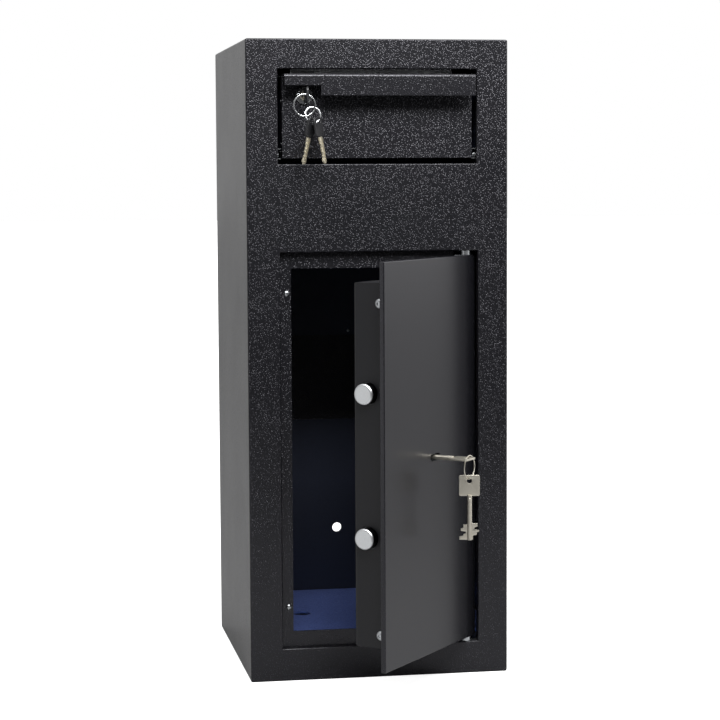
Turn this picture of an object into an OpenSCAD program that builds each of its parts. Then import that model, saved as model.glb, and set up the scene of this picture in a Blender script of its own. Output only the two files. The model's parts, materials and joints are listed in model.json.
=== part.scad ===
// Drop safe with a deposit drawer above a key-locked door.
// Millimetres. Z is up, the front faces -Y, and the origin is the middle of the footprint on the floor.
// The door is drawn where it stands open, the drawer where it is shut.

/* [Body] */
// Width of the body
body_w = 350; // [330:1:450]
// Depth of the body
body_d = 360; // [340:1:500]
// Height of the body
body_h = 850; // [800:1:1000]
// Thickness of the body's sheet steel
wall_t = 3; // [2:0.5:5]
// Outer radius of the body's folded edges
edge_r = 3; // [1:0.5:4]
// Bevel round the front sheet's outer edges
edge_bevel = 1.2; // [0.4:0.1:2]
// Thickness of the back reinforcement sheet
doubler_t = 2; // [1:0.5:4]
// Height of the back reinforcement sheet
doubler_h = 303; // [200:1:380]
// Gap that the back reinforcement sheet leaves at each side wall
doubler_gap = 20; // [5:1:60]
// Diameter of the wall and floor anchor holes
anchor_d = 14; // [8:0.5:20]
// Height of the wall anchor hole above the floor
anchor_z = 146; // [60:1:280]
// Distance between the two floor anchor holes
floor_anchor_pitch = 160; // [60:10:260]

/* [Door opening] */
// Width of the front sheet left of the door opening
left_stile_w = 43.5; // [38:0.5:60]
// Width of the front sheet right of the door opening
right_stile_w = 40.5; // [38:0.5:60]
// Height of the front sheet between door opening and drawer opening
mid_rail_h = 115.5; // [105:0.5:160]
// Height of the opening's sill above the floor
door_open_z = 43.5; // [35:0.5:60]
// Depth of the folded returns round both openings, from the front face
return_d = 10; // [9:0.5:16]
// Thickness of the folded returns
return_t = 2.5; // [1.5:0.5:4]
// Bevel on the front edges of both openings
open_bevel = 1; // [0.3:0.1:2]
// Thickness of the door stops
stop_t = 3; // [2:0.5:4]
// Width of the side stop inside the opening
stop_side_w = 15.5; // [12:0.5:16]
// Width of the top and sill stops inside the opening
stop_end_w = 21.5; // [16:0.5:26]

/* [Door] */
// Thickness of the door plate
plate_t = 7; // [5:0.5:7.5]
// Gap between door plate and opening at each side
door_gap = 3; // [2.8:0.1:4]
// Gap between door plate and opening above and below
door_end_gap = 6; // [4:0.5:9]
// Angle at which the door is drawn open
door_angle = 51.5; // [20:0.5:100]
// Distance of the hinge axis from the plate's hinge edge
pin_inset = 12; // [11:0.5:16]
// Distance of the hinge axis behind the plate's outer face
pin_back = 8; // [7:0.5:8.5]
// Radius of the hinge pins
pin_r = 3; // [2:0.25:4]
// Running clearance round the hinge pins
pin_fit = 0.1; // [0.05:0.01:0.1]
// Length of each hinge block along the plate
block_h = 25; // [15:1:26]
// Depth of the pan behind the door plate
pan_d = 47; // [40:1:60]
// Sheet thickness of the pan
pan_t = 1.5; // [1:0.5:3]
// Inset of the pan from the plate's free edge
pan_free_inset = 18; // [17:0.5:24]
// Inset of the pan from the plate's hinge edge
pan_hinge_inset = 24; // [22:1:40]
// Inset of the pan from the plate's top and bottom edges
pan_end_inset = 27; // [26:0.5:40]
// Radius of the pan's folded edges
pan_edge_r = 5; // [3:0.5:8]
// Head diameter of the screws that hold the pan
pan_screw_d = 12.5; // [8:0.5:14]
// Distance of the pan screws from the pan's ends
pan_screw_z = 26; // [18:1:60]

/* [Locking bolts] */
// Diameter of the locking bolts
bolt_d = 27; // [20:0.5:30]
// Distance between the two locking bolts
bolt_pitch = 183; // [140:1:260]
// Distance of the bolts' axes behind the door's outer face
bolt_back = 34; // [30:0.5:40]
// Reach of the thrown bolts beyond the pan
bolt_reach = 12; // [9:0.5:14]
// Travel of the bolts
bolt_throw = 18; // [15:0.5:20]
// Length of each locking bolt
bolt_len = 66; // [56:1:70]
// Running clearance round the bolts in their guides
bolt_fit = 0.1; // [0.05:0.01:0.1]
// Thickness of the bar that joins the bolts
bar_t = 6; // [4:0.5:8]
// Room round each bolt in the strike rail's windows
window_gap = 2; // [1:0.5:3]

/* [Door lock and keys] */
// Offset of the keyhole from the door's middle towards the hinge
key_dx = 10.6; // [5:0.1:20]
// Offset of the keyhole below the door's middle
key_dz = 1; // [-20:0.5:20]
// Overall length of a door key
key_len = 85; // [80:1:92]
// Width and height of a door key's square bow
bow_w = 27; // [24:0.5:29.5]
// Thickness of a door key's bow and bits
bow_t = 2.4; // [1.5:0.1:2.6]
// Diameter of a door key's stem
stem_d = 6.6; // [5:0.1:7.5]
// Width across both bits of a door key
bit_w = 26; // [22:0.5:27]
// Length of a door key's bits
bit_len = 21.5; // [16:0.5:23.5]
// Diameter of the hole in a door key's bow
bow_hole_d = 6.8; // [6.6:0.1:7.2]
// Mean radius of the wire ring that joins the two door keys
wire_ring_r = 15.2; // [14.6:0.1:17]
// Diameter of that ring's wire
wire_d = 1.6; // [1:0.1:1.8]
// Width of the lock case
case_w = 74; // [64:1:80]
// Height of the lock case
case_h = 104; // [90:1:130]
// Depth of the lock case
case_d = 29; // [28:0.5:34]
// Thickness of the drill-proof plate in front of the lock
hard_t = 2; // [1:0.25:2.25]

/* [Deposit drawer] */
// Width of the front sheet beside the drawer opening
drawer_stile_w = 42; // [38:0.5:60]
// Height of the front sheet over the drawer opening
top_rail_h = 39; // [30:0.5:60]
// Height of the drawer opening
slot_h = 124; // [118:1:130]
// Gap round the drawer front
front_gap = 6; // [4:0.5:8]
// Gap under and over the drawer front
front_end_gap = 7.5; // [5:0.5:9]
// Distance of the drawer front behind the safe's front
front_inset = 4; // [3:0.5:6]
// Thickness of the drawer front's sheet
front_t = 2; // [1.5:0.5:3]
// Distance that the handle lip stands out from the drawer front
lip_out = 26; // [20:1:32]
// Height of the handle lip
lip_h = 28; // [22:0.5:34]
// Height of the lip over the lock
lip_notch_h = 15; // [10:0.5:15.5]
// Width of the lip's cut-away over the lock
lip_notch_w = 48; // [40:1:60]
// Outer bend radius of the lip
lip_r = 3.5; // [3:0.5:5]
// Length of the drawer tray
tray_l = 174; // [170:1:190]
// Height of the tray's sides
tray_h = 88; // [60:1:90]
// Sheet thickness of the tray
tray_t = 1.5; // [1:0.5:2]
// Travel of the drawer
drawer_travel = 140; // [100:1:140]
// Radius of the runners' rollers
roller_r = 3.8; // [3:0.1:4]
// Gap between rollers and the tracks that they run on
roller_gap = 0.3; // [0.2:0.05:0.5]

/* [Drawer housing] */
// Sheet thickness of the housing
housing_t = 2; // [1.5:0.5:3]
// Depth of the housing behind the front sheet
housing_d = 255; // [245:1:275]
// Distance of the rear baffle's lower edge below the drawer opening
baffle_drop = 244; // [120:1:280]
// Depth of the flange at the rear baffle's lower edge
baffle_flange = 14; // [6:0.5:20]
// Distance of the sloping chute's upper edge below the drawer opening
chute_drop = 7; // [4:0.5:12]
// Slope of the chute in degrees
chute_slope = 27; // [20:1:30]
// Length of the chute along its slope
chute_l = 176; // [150:1:190]
// Height of the comb's teeth over the chute's edge
tooth_h = 14; // [8:1:20]
// Distance between the comb's teeth
tooth_pitch = 12; // [8:1:20]
// Distance of the one-way flap's axis behind the front sheet
flap_back = 50; // [50:1:64]
// Radius of the flap's rod
rod_r = 2.5; // [2:0.25:3]
// Radial clearance of the flap's knuckles on the rod
rod_fit = 0.1; // [0.05:0.01:0.1]
// Gap between the flap and the tray's floor
flap_gap = 3; // [2:0.5:6]

/* [Drawer lock and keys] */
// Distance of the drawer lock from the drawer front's left edge
lock_x = 29.4; // [24:0.1:34]
// Distance of the drawer lock below the drawer front's top edge
lock_dz = 27.5; // [27:0.25:30]
// Diameter of the lock's threaded barrel
barrel_d = 18; // [14:0.5:20]
// Length of the barrel behind its rim
barrel_l = 32; // [30:0.5:33]
// Diameter of the lock's plug
plug_d = 13; // [11:0.5:14]
// Length of the cam from the plug's axis
cam_l = 33; // [31:0.5:35]
// Thickness of the cam
cam_t = 2.5; // [1.5:0.5:3]
// Width of a drawer key's moulded head
head_w = 21; // [18:0.5:21.5]
// Height of a drawer key's moulded head
head_h = 26; // [22:0.5:28]
// Thickness of a drawer key's moulded head
head_t = 2.8; // [2.4:0.1:3]
// Width of the slot in a drawer key's head
head_slot_w = 12; // [11.8:0.1:13]
// Height of the slot in a drawer key's head
head_slot_h = 4.8; // [4.7:0.1:5.2]
// Width of a drawer key's blade
blade_w = 8; // [6:0.25:9]
// Length of a drawer key's blade
blade_l = 35; // [28:0.5:35.5]
// Thickness of a drawer key's blade
blade_t = 2.2; // [1.6:0.1:2.6]
// Mean radius of the large split ring
big_ring_r = 14; // [13.6:0.1:15]
// Mean radius of the small split ring
small_ring_r = 10.2; // [10:0.1:10.8]
// Diameter of the split rings' section
ring_d = 2.2; // [1.8:0.1:2.3]

/* [Small pieces] */
// Thickness of the felt mat
mat_t = 3; // [2:0.5:5]
// Gap between the mat and the walls
mat_gap = 5; // [2:1:12]
// Height of the raised floor's upper face over the door sill
floor_rise = 7; // [5:0.5:12]
// Thickness of the raised floor's sheet
floor_t = 2; // [1.5:0.5:3]
// Gap between the raised floor and the lower hinge bracket
floor_gap = 1.5; // [1:0.5:4]
// Head diameter of the cross-recess jamb screws
jamb_screw_d = 8; // [6:0.5:9]
// Distance of the jamb screws from the opening's ends
jamb_screw_z = 54.5; // [40:0.5:90]
// General seating clearance between pieces that move
seat = 0.3; // [0.2:0.05:0.4]

/* [Hidden] */
$fn = 48;
front_y = -body_d / 2;
back_y = body_d / 2;
sheet_y = front_y + wall_t;
fold_r = min(edge_r, wall_t);
inner_w = body_w - 2 * wall_t;
weld = 0.02;

// Door opening and stops
open_x0 = left_stile_w - body_w / 2;
open_x1 = body_w / 2 - right_stile_w;
open_z0 = door_open_z;
open_z1 = body_h - top_rail_h - slot_h - mid_rail_h;
return_y = front_y + return_d;
stop_y = return_y + stop_t;
rail_x = open_x0 + stop_side_w;
floor_top = open_z0 + floor_rise;

// Door plate, hinge axis and pan, drawn shut
door_x0 = open_x0 + door_gap;
door_x1 = open_x1 - door_gap;
door_z0 = open_z0 + door_end_gap;
door_z1 = open_z1 - door_end_gap;
door_mid_x = (door_x0 + door_x1) / 2;
door_mid_z = (door_z0 + door_z1) / 2;
plate_y = front_y + plate_t;
axis_x = door_x1 - pin_inset;
axis_y = front_y + pin_back;
block_r = 9;
block_d = 13;
bracket_h = 15;
bracket_back = 12;
block_reach = norm([block_r, plate_y + block_d - axis_y]);
floor_front = axis_y + max(bracket_back, block_reach) + floor_gap;
bracket_x0 = axis_x - block_r - 5.5;
pin_depth = block_h - 5;
pan_x0 = door_x0 + pan_free_inset;
pan_x1 = door_x1 - pan_hinge_inset;
pan_z0 = door_z0 + pan_end_inset;
pan_z1 = door_z1 - pan_end_inset;
pan_y = plate_y + pan_d;
pan_screw_y = plate_y + pan_screw_d / 2 + 3;
tab_t = 2.5;

// Bolts and strike
bolt_r = bolt_d / 2;
bolt_y = front_y + bolt_back;
bolt_tip = pan_x0 - bolt_reach;
bolt_end = bolt_tip + bolt_len;
bolt_zs = [door_mid_z - bolt_pitch / 2, door_mid_z + bolt_pitch / 2];
guide_t = 6;
guide_x = pan_x0 + pan_t + 4;
guide_w = bolt_d + 14;
rail_t = 2.5;
rail_z0 = open_z0 + stop_end_w + 5;
rail_z1 = open_z1 - stop_end_w - 5;
rail_back = bolt_y + bolt_r + window_gap + 10;
bar_overlap = 8;
bolt_screw_in = 18;
bolt_hole_in = bolt_screw_in + 2;

// Door lock
key_x = door_mid_x + key_dx;
key_z = door_mid_z - key_dz;
keyhole_w = bit_w + 1.4;
keyhole_h = stem_d + 2.4;
hard_y = plate_y + hard_t;
case_y = hard_y + case_d;
case_t = 1.5;
case_x0 = key_x - case_w / 2 - 2;
case_x1 = case_x0 + case_w;
boss_r = 6.5;
tongue_h = 26;
tongue_t = 5;
bit_end = 0.5;
bow_hole_in = 7.2;
bit_y = hard_y + case_t + 1;
key_y = bit_y - key_len + bit_end + bit_len;
key_hole_y = key_y + bow_hole_in;
drum_r = bit_w / 2 + 2.5;
drum_fit = 0.1;
ring_drop = 51.5;
spare_yaw = 28;

// Drawer opening and front
slot_x0 = drawer_stile_w - body_w / 2;
slot_x1 = body_w / 2 - drawer_stile_w;
slot_z = open_z1 + mid_rail_h;
slot_z1 = slot_z + slot_h;
front_x0 = slot_x0 + front_gap;
front_x1 = slot_x1 - front_gap;
front_z0 = slot_z + front_end_gap;
front_z1 = slot_z1 - front_end_gap;
panel_y = front_y + front_inset;
panel_back = panel_y + front_t;
hem = 12;
hem_t = 1.5;

// Tray and runners
tray_x = front_x1 - hem_t;
tray_z = front_z0 + hem_t;
tray_y1 = panel_back + tray_l;
runner_z = tray_z + 2.5;
house_x = slot_x1 + return_t;
track_t = 1.2;
track_x = front_x1 + 1;
track_h = 14;
track_y0 = return_y + 1;
track_y1 = tray_y1 - 12;
track_z = runner_z - roller_r - roller_gap - track_t + 0.4;
roller_z = track_z + track_t + roller_gap + roller_r;
ledge_t = 1.2;
ledge_z = roller_z + roller_r + roller_gap;
ledge_x = slot_x1 - 0.6;
roller_l = 3.4;
front_roller_y = track_y0 + 8;
rear_roller_y = tray_y1 - 16;
rivet_in = 7;
rivet_low = 18;
rivet_high = 14;

// Drawer housing, chute and flap
house_z1 = slot_z1 + return_t;
baffle_z = slot_z - baffle_drop;
chute_top_z = slot_z - chute_drop;
house_y1 = sheet_y + housing_d;
chute_end_y = sheet_y + chute_l * cos(chute_slope);
chute_end_z = chute_top_z - chute_l * sin(chute_slope);
house_z0 = chute_end_z - 12;
comb_t = 1.5;
comb_root = 8;
flap_y = sheet_y + flap_back;
flap_z = front_z1 - 0.5;
flap_t = 1.5;
flap_x = tray_x - tray_t - 5;
knuckle_r = rod_r + rod_fit + 2;
knuckle_l = 30;

// Drawer lock
cyl_x = front_x0 + lock_x;
cyl_z = front_z1 - lock_dz;
rim_r = barrel_d / 2 + 2;
rim_t = 2.5;
plug_r = plug_d / 2;
barrel_y = panel_y + barrel_l;
cam_y = barrel_y + 1;
cam_w = plug_d;
keyway_w = blade_t + 0.3;
keyway_h = blade_w + 0.4;
head_gap = 5;
strike_low = 14;
strike_high = 18;
head_y = panel_y - rim_t - head_gap;
head_slot_in = 5.5;
slot_play = head_slot_h / 2 - ring_d / 2 - seat;
ring_y = head_y - head_h + head_slot_in - slot_play;
big_ring_turn = 16;
small_ring_turn = 41;
small_ring_tilt = 17;

paint = [0.11, 0.11, 0.12];
inner_paint = [0.07, 0.07, 0.08];
zinc = [0.72, 0.73, 0.74];
steel = [0.55, 0.56, 0.57];
nickel = [0.78, 0.76, 0.71];
chrome = [0.85, 0.86, 0.87];
plastic = [0.05, 0.05, 0.055];
felt = [0.13, 0.15, 0.24];

// Straight box between two opposite corners
module span(a, b) {
    translate(a) cube(b - a);
}

// Cylinder along X from x0 to x1
module rod_x(r, x0, x1, y, z) {
    translate([x0, y, z]) rotate([0, 90, 0]) cylinder(r = r, h = x1 - x0);
}

// Cylinder along Y from y0 to y1
module rod_y(r, y0, y1, x, z) {
    translate([x, y0, z]) rotate([-90, 0, 0]) cylinder(r = r, h = y1 - y0);
}

// Outline of a rectangle with round corners
module round_rect(w, h, r) {
    square([w - 2 * r, h], center = true);
    square([w, h - 2 * r], center = true);
    for (x = [-1, 1], y = [-1, 1])
        translate([x * (w / 2 - r), y * (h / 2 - r)]) circle(r);
}

// Rectangle whose two corners at the low Y side are round
module nose_rect(w, d, r) {
    difference() {
        square([w, d]);
        difference() {
            square([r, r]);
            translate([r, r]) circle(r);
        }
        translate([w - r, 0]) difference() {
            square([r, r]);
            translate([0, r]) circle(r);
        }
    }
}

// Rectangle whose two corners at the low Y side are bevelled
module bevel_rect(w, d, c) {
    polygon([[c, 0], [w - c, 0], [w, c], [w, d], [0, d], [0, c]]);
}

// Box with every edge bevelled by c
module eased_box(a, b, c) {
    s = b - a;
    translate(a) intersection() {
        linear_extrude(s.z) octagon(s.x, s.y, c);
        translate([0, s.y, 0]) rotate([90, 0, 0]) linear_extrude(s.y) octagon(s.x, s.z, c);
        rotate([90, 0, 90]) linear_extrude(s.x) octagon(s.y, s.z, c);
    }
}

module octagon(w, h, c) {
    polygon([[c, 0], [w - c, 0], [w, c], [w, h - c], [w - c, h], [c, h], [0, h - c], [0, c]]);
}

// Ring of round section round the Z axis
module torus(big, small) {
    rotate_extrude() translate([big, 0]) circle(small, $fn = 24);
}

// Everything on the door is drawn shut and swung open here
module on_door() {
    translate([axis_x, axis_y, 0]) rotate(door_angle) translate([-axis_x, -axis_y, 0]) children();
}

// Button-head screw along -Y, with its head's seat at y
module button_screw(x, y, z, head_d, head_h, shank_r, shank_l) {
    rod_y(head_d / 2, y - head_h, y, x, z);
    rod_y(shank_r, y - weld, y + shank_l, x, z);
}

// Hole through the front sheet with bevelled front edges
module opening(x0, x1, z0, z1) {
    over = 1;
    flare = open_bevel + over;
    y0 = front_y - over;
    y1 = front_y + open_bevel;
    span([x0, y0, z0], [x1, return_y + over, z1]);
    intersection() {
        translate([0, 0, z0 - flare]) linear_extrude(z1 - z0 + 2 * flare)
            polygon([[x0, y1], [x0 - flare, y0], [x1 + flare, y0], [x1, y1]]);
        translate([x0 - flare, 0, 0]) rotate([90, 0, 90]) linear_extrude(x1 - x0 + 2 * flare)
            polygon([[y1, z0], [y0, z0 - flare], [y0, z1 + flare], [y1, z1]]);
    }
}

// Strips folded in round an opening; the level ones end at x_end
module returns(x0, x1, z0, z1, x_end) {
    t = return_t;
    span([x0 - t, sheet_y, z0 - t], [x0, return_y, z1 + t]);
    span([x1, sheet_y, z0], [x1 + t, return_y, z1]);
    for (z = [z0 - t, z1])
        span([x0 - t, sheet_y, z], [x_end, return_y, z + t]);
}

// Places of the two anchor holes in the floor
module floor_anchor_places() {
    for (s = [-1, 1])
        translate([s * floor_anchor_pitch / 2, 0, 0]) children();
}

module body_wrap() color(paint) difference() {
    translate([0, back_y, body_h / 2]) rotate([90, 0, 0])
        linear_extrude(body_d - wall_t) difference() {
            round_rect(body_w, body_h, fold_r);
            square([inner_w, body_h - 2 * wall_t], center = true);
        }
    floor_anchor_places() translate([0, 0, -1]) cylinder(d = anchor_d, h = wall_t + 2);
}

module front_frame() color(paint) difference() {
    union() {
        intersection() {
            translate([0, sheet_y, body_h / 2]) rotate([90, 0, 0])
                linear_extrude(wall_t) round_rect(body_w, body_h, fold_r);
            translate([-body_w / 2, front_y, 0]) linear_extrude(body_h) bevel_rect(body_w, wall_t, edge_bevel);
            translate([-body_w / 2, front_y, 0]) rotate([90, 0, 90])
                linear_extrude(body_w) mirror([1, -1]) bevel_rect(body_h, wall_t, edge_bevel);
        }
        returns(open_x0, open_x1, open_z0, open_z1, bracket_x0);
        returns(slot_x0, slot_x1, slot_z, slot_z1, slot_x1 + return_t);
    }
    opening(open_x0, open_x1, open_z0, open_z1);
    opening(slot_x0, slot_x1, slot_z, slot_z1);
}

module back_panel() color(paint) difference() {
    span([-inner_w / 2, back_y - wall_t, wall_t], [inner_w / 2, back_y, body_h - wall_t]);
    rod_y(anchor_d / 2, back_y - wall_t - 1, back_y + 1, 0, anchor_z);
}

module back_doubler() color(inner_paint) difference() {
    y1 = back_y - wall_t;
    x = inner_w / 2 - doubler_gap;
    span([-x, y1 - doubler_t, wall_t + mat_t + 1], [x, y1, wall_t + mat_t + 1 + doubler_h]);
    rod_y(anchor_d / 2, y1 - doubler_t - 1, y1 + 1, 0, anchor_z);
}

// Places of the two screws on the side stop
module jamb_screw_places() {
    x = open_x0 + stop_side_w * 0.62;
    for (z = [open_z0 + jamb_screw_z, open_z1 - jamb_screw_z])
        translate([x, return_y, z]) children();
}

module side_stop() color(paint) difference() {
    span([open_x0 - return_t, return_y, open_z0], [rail_x, stop_y, open_z1]);
    jamb_screw_places() rod_y(2.2, -1, stop_t + 1, 0, 0);
}

// Stops over and under the door
module end_stops() color(paint) for (z = [open_z0 - return_t, open_z1 - stop_end_w])
    span([rail_x, return_y, z], [bracket_x0 - 2, stop_y, z + stop_end_w + return_t]);

module strike_rail() color(paint) difference() {
    union() {
        span([open_x0, stop_y, rail_z0], [rail_x, stop_y + rail_t, rail_z1]);
        span([rail_x - rail_t, stop_y, rail_z0], [rail_x, rail_back, rail_z1]);
        span([open_x0, rail_back - rail_t, rail_z0], [rail_x, rail_back, rail_z1]);
    }
    r = bolt_r + window_gap;
    for (z = bolt_zs)
        span([rail_x - rail_t - 1, bolt_y - r, z - r], [rail_x + 1, bolt_y + r, z + r]);
    jamb_screw_places() rod_y(2.2, stop_t - 1, stop_t + rail_t + 1, 0, 0);
}

module jamb_screws() color(zinc) jamb_screw_places() difference() {
    button_screw(0, 0, 0, jamb_screw_d, 2.2, 2, stop_t + rail_t + 3);
    for (a = [0, 90])
        translate([0, -2.2, 0]) rotate([0, a, 0]) cube([jamb_screw_d * 0.6, 2.4, 1.2], center = true);
}

module hinge_brackets() color(steel) difference() {
    for (z = [open_z0 - bracket_h, open_z1])
        span([bracket_x0, sheet_y, z], [open_x1 + return_t, axis_y + bracket_back, z + bracket_h]);
    for (z = [open_z0 - bracket_h - 1, open_z1 - 1])
        translate([axis_x, axis_y, z]) cylinder(r = pin_r + weld, h = bracket_h + 2);
    span([open_x1 - weld, sheet_y - 1, open_z0], [open_x1 + return_t + 1, return_y, open_z1]);
}

module hinge_pins() color(zinc) {
    l = bracket_h + door_end_gap + pin_depth;
    translate([axis_x, axis_y, open_z0 - bracket_h]) cylinder(r = pin_r, h = l);
    translate([axis_x, axis_y, open_z1 + bracket_h - l]) cylinder(r = pin_r, h = l);
}

module hinge_washers() color(zinc) {
    h = door_end_gap - seat;
    for (z = [open_z0, open_z1 - h])
        translate([axis_x, axis_y, z]) difference() {
            cylinder(r = pin_r + 3.5, h = h);
            translate([0, 0, -1]) cylinder(r = pin_r + 0.2, h = h + 2);
        }
}

module drawer_housing() color(inner_paint) {
    for (s = [-1, 1])
        translate([s * (house_x + housing_t / 2), 0, 0])
            span([-housing_t / 2, sheet_y, house_z0], [housing_t / 2, house_y1, house_z1 + housing_t]);
    span([-house_x - weld, sheet_y, house_z1], [house_x + weld, house_y1, house_z1 + housing_t]);
}

module rear_baffle() color(inner_paint) {
    x = house_x + housing_t;
    span([-x, house_y1, baffle_z], [x, house_y1 + housing_t, house_z1 + housing_t]);
    span([-x, house_y1, baffle_z], [x, house_y1 + baffle_flange, baffle_z + housing_t]);
}

module baffle_rivet() color(zinc) translate([2, house_y1, baffle_z + 6])
    rotate([90, 0, 0]) cylinder(r = 2.2, h = 1.4);

module chute_plate() color(inner_paint) difference() {
    translate([-house_x, sheet_y, chute_top_z]) rotate([-chute_slope, 0, 0])
        translate([0, 0, -housing_t]) cube([2 * house_x, chute_l, housing_t]);
    span([-house_x - 1, front_y, chute_top_z - 2 * housing_t], [house_x + 1, sheet_y, chute_top_z + 1]);
}

// Row of upright teeth along the chute's edge
module anti_fishing_comb() color(zinc) {
    w = 2 * house_x - 2;
    n = floor(w / tooth_pitch);
    p = w / n;
    low = chute_end_z - comb_root;
    translate([-w / 2, chute_end_y + comb_t + 0.2, low]) rotate([90, 0, 0]) linear_extrude(comb_t) {
        square([w, comb_root]);
        for (i = [0 : n - 1])
            polygon([[i * p, comb_root], [(i + 1) * p, comb_root], [(i + 0.5) * p, comb_root + tooth_h]]);
    }
}

// Fixed C-shaped tracks on the housing's walls
module cabinet_tracks() color(zinc) for (s = [0, 1]) mirror([s, 0, 0]) {
    span([house_x - track_t, track_y0, track_z], [house_x, track_y1, track_z + track_h]);
    for (z = [track_z, track_z + track_h - track_t])
        span([track_x, track_y0, z], [house_x - track_t + weld, track_y1, z + track_t]);
}

module cabinet_rollers() color(zinc) for (s = [0, 1]) mirror([s, 0, 0])
    rod_x(roller_r, tray_x + hem_t + roller_l + seat, house_x - track_t, front_roller_y, roller_z);

module flap_rod() color(zinc) rod_x(rod_r, -house_x, house_x, flap_y, flap_z);

// Angle in front of the flap that keeps it from swinging forwards
module flap_stop() color(zinc) {
    y1 = flap_y - flap_t / 2 - seat;
    z0 = flap_z - knuckle_r - 8;
    span([-flap_x + 10, y1 - 6, z0], [flap_x - 10, y1 - 4.5, house_z1]);
    span([-flap_x + 10, y1 - 6, z0], [flap_x - 10, y1, z0 + 1.5]);
}

module lock_strike() color(steel)
    span([cyl_x - strike_low, cam_y - 4, front_z1 - 2], [cyl_x + strike_high, cam_y - 1.5, house_z1]);

module felt_mat() color(felt) difference() {
    x = inner_w / 2 - mat_gap;
    span([-x, floor_front, floor_top], [x, back_y - wall_t - doubler_t - mat_gap, floor_top + mat_t]);
    access_holes();
}

// Holes over the floor anchors, wide enough for a socket wrench
module access_holes() {
    floor_anchor_places() translate([0, 0, wall_t + 1]) cylinder(r = anchor_d / 2 + 5, h = floor_top + mat_t);
}

// Raised floor: a sheet folded down at the front and back, standing on the wrap
module raised_floor() color(inner_paint) difference() {
    x = inner_w / 2;
    y1 = back_y - wall_t - doubler_t;
    span([-x, floor_front, wall_t], [x, y1, floor_top]);
    span([-x - 1, floor_front + floor_t, wall_t - 1], [x + 1, y1 - floor_t, floor_top - floor_t]);
    access_holes();
}

// Flap that hangs from the rod and lets a deposit in but not out
module one_way_flap() color(zinc) difference() {
    union() {
        span([-flap_x, flap_y - flap_t / 2, tray_z + tray_t + flap_gap],
             [flap_x, flap_y + flap_t / 2, flap_z - rod_r - 0.5]);
        for (x = [-flap_x, -knuckle_l / 2, flap_x - knuckle_l]) {
            rod_x(knuckle_r, x, x + knuckle_l, flap_y, flap_z);
            span([x, flap_y - flap_t / 2, flap_z - knuckle_r - 2],
                 [x + knuckle_l, flap_y + flap_t / 2, flap_z - rod_r - 0.4]);
        }
    }
    rod_x(rod_r + rod_fit, -flap_x - 1, flap_x + 1, flap_y, flap_z);
}

// Bore of both hinge pins in the door
module pin_bores() {
    for (z = [door_z0 - 1, door_z1 - pin_depth - seat])
        translate([axis_x, axis_y, z]) cylinder(r = pin_r + pin_fit, h = pin_depth + seat + 1);
}

// Oblong keyhole through whatever lies from y0 to y1
module keyhole(y0, y1) {
    rod_y(keyhole_h / 2, y0, y1, key_x - (keyhole_w - keyhole_h) / 2, key_z);
    rod_y(keyhole_h / 2, y0, y1, key_x + (keyhole_w - keyhole_h) / 2, key_z);
    span([key_x - (keyhole_w - keyhole_h) / 2, y0, key_z - keyhole_h / 2],
         [key_x + (keyhole_w - keyhole_h) / 2, y1, key_z + keyhole_h / 2]);
}

module door_plate() color(paint) on_door() difference() {
    eased_box([door_x0, front_y, door_z0], [door_x1, plate_y, door_z1], 0.8);
    keyhole(front_y - 1, plate_y + 1);
    pin_bores();
}

module hinge_blocks() color(steel) on_door() difference() {
    for (z = [door_z0, door_z1 - block_h])
        span([axis_x - block_r, plate_y, z], [axis_x + block_r, plate_y + block_d, z + block_h]);
    pin_bores();
}

// Sides of the pan: x of the face and the way it faces
pan_sides = [[pan_x0, -1], [pan_x1, 1]];
pan_screw_zs = [pan_z0 + pan_screw_z - 10, pan_z1 - pan_screw_z];

module pan_tabs() color(steel) on_door() for (p = pan_sides, z = pan_screw_zs) {
    x = p[0] - p[1] * pan_t;
    translate([x, 0, z]) scale([1, 1, 1]) difference() {
        union() {
            span([min(0, -p[1] * tab_t), plate_y, -12], [max(0, -p[1] * tab_t), pan_screw_y + 9, 12]);
            span([min(0, -p[1] * 14), plate_y, -12], [max(0, -p[1] * 14), plate_y + tab_t, 12]);
        }
        rod_x(2.6, -5, 5, pan_screw_y, 0);
    }
}

// Pan's outer or inner form, grown inwards by g
module pan_form(g, y0) {
    w = pan_x1 - pan_x0 - 2 * g;
    h = pan_z1 - pan_z0 - 2 * g;
    d = pan_y - g - y0;
    r = pan_edge_r - g;
    intersection() {
        translate([pan_x1 - g, pan_y - g, pan_z0 + g]) rotate(180)
            linear_extrude(h) nose_rect(w, d, r);
        translate([pan_x0 + g, pan_y - g, pan_z0 + g]) rotate([90, 0, 90])
            linear_extrude(w) rotate(90) nose_rect(h, d, r);
    }
}

module door_pan() color(inner_paint) on_door() difference() {
    pan_form(0, plate_y);
    pan_form(pan_t, plate_y - 1);
    for (z = bolt_zs)
        rod_x(bolt_r + 1, pan_x0 - 1, pan_x0 + pan_t + 1, bolt_y, z);
    for (z = pan_screw_zs) {
        rod_x(2.6, pan_x0 - 1, pan_x0 + pan_t + 1, pan_screw_y, z);
        rod_x(2.6, pan_x1 - pan_t - 1, pan_x1 + 1, pan_screw_y, z);
    }
}

module pan_screws() color(zinc) on_door() for (p = pan_sides, z = pan_screw_zs)
    translate([p[0], pan_screw_y, z]) rotate([0, p[1] * 90, 0]) {
        difference() {
            cylinder(d = pan_screw_d, h = 3.2);
            translate([0, 0, 1.6]) cylinder(r = 2.6, h = 2, $fn = 6);
        }
        translate([0, 0, -pan_t - tab_t - 2]) cylinder(r = 2.5, h = pan_t + tab_t + 2 + weld);
    }

module bolt_guides() color(steel) on_door() for (z = bolt_zs) difference() {
    span([guide_x, plate_y, z - guide_w / 2], [guide_x + guide_t, pan_y - pan_t - 1, z + guide_w / 2]);
    rod_x(bolt_r + bolt_fit, guide_x - 1, guide_x + guide_t + 1, bolt_y, z);
}

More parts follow.
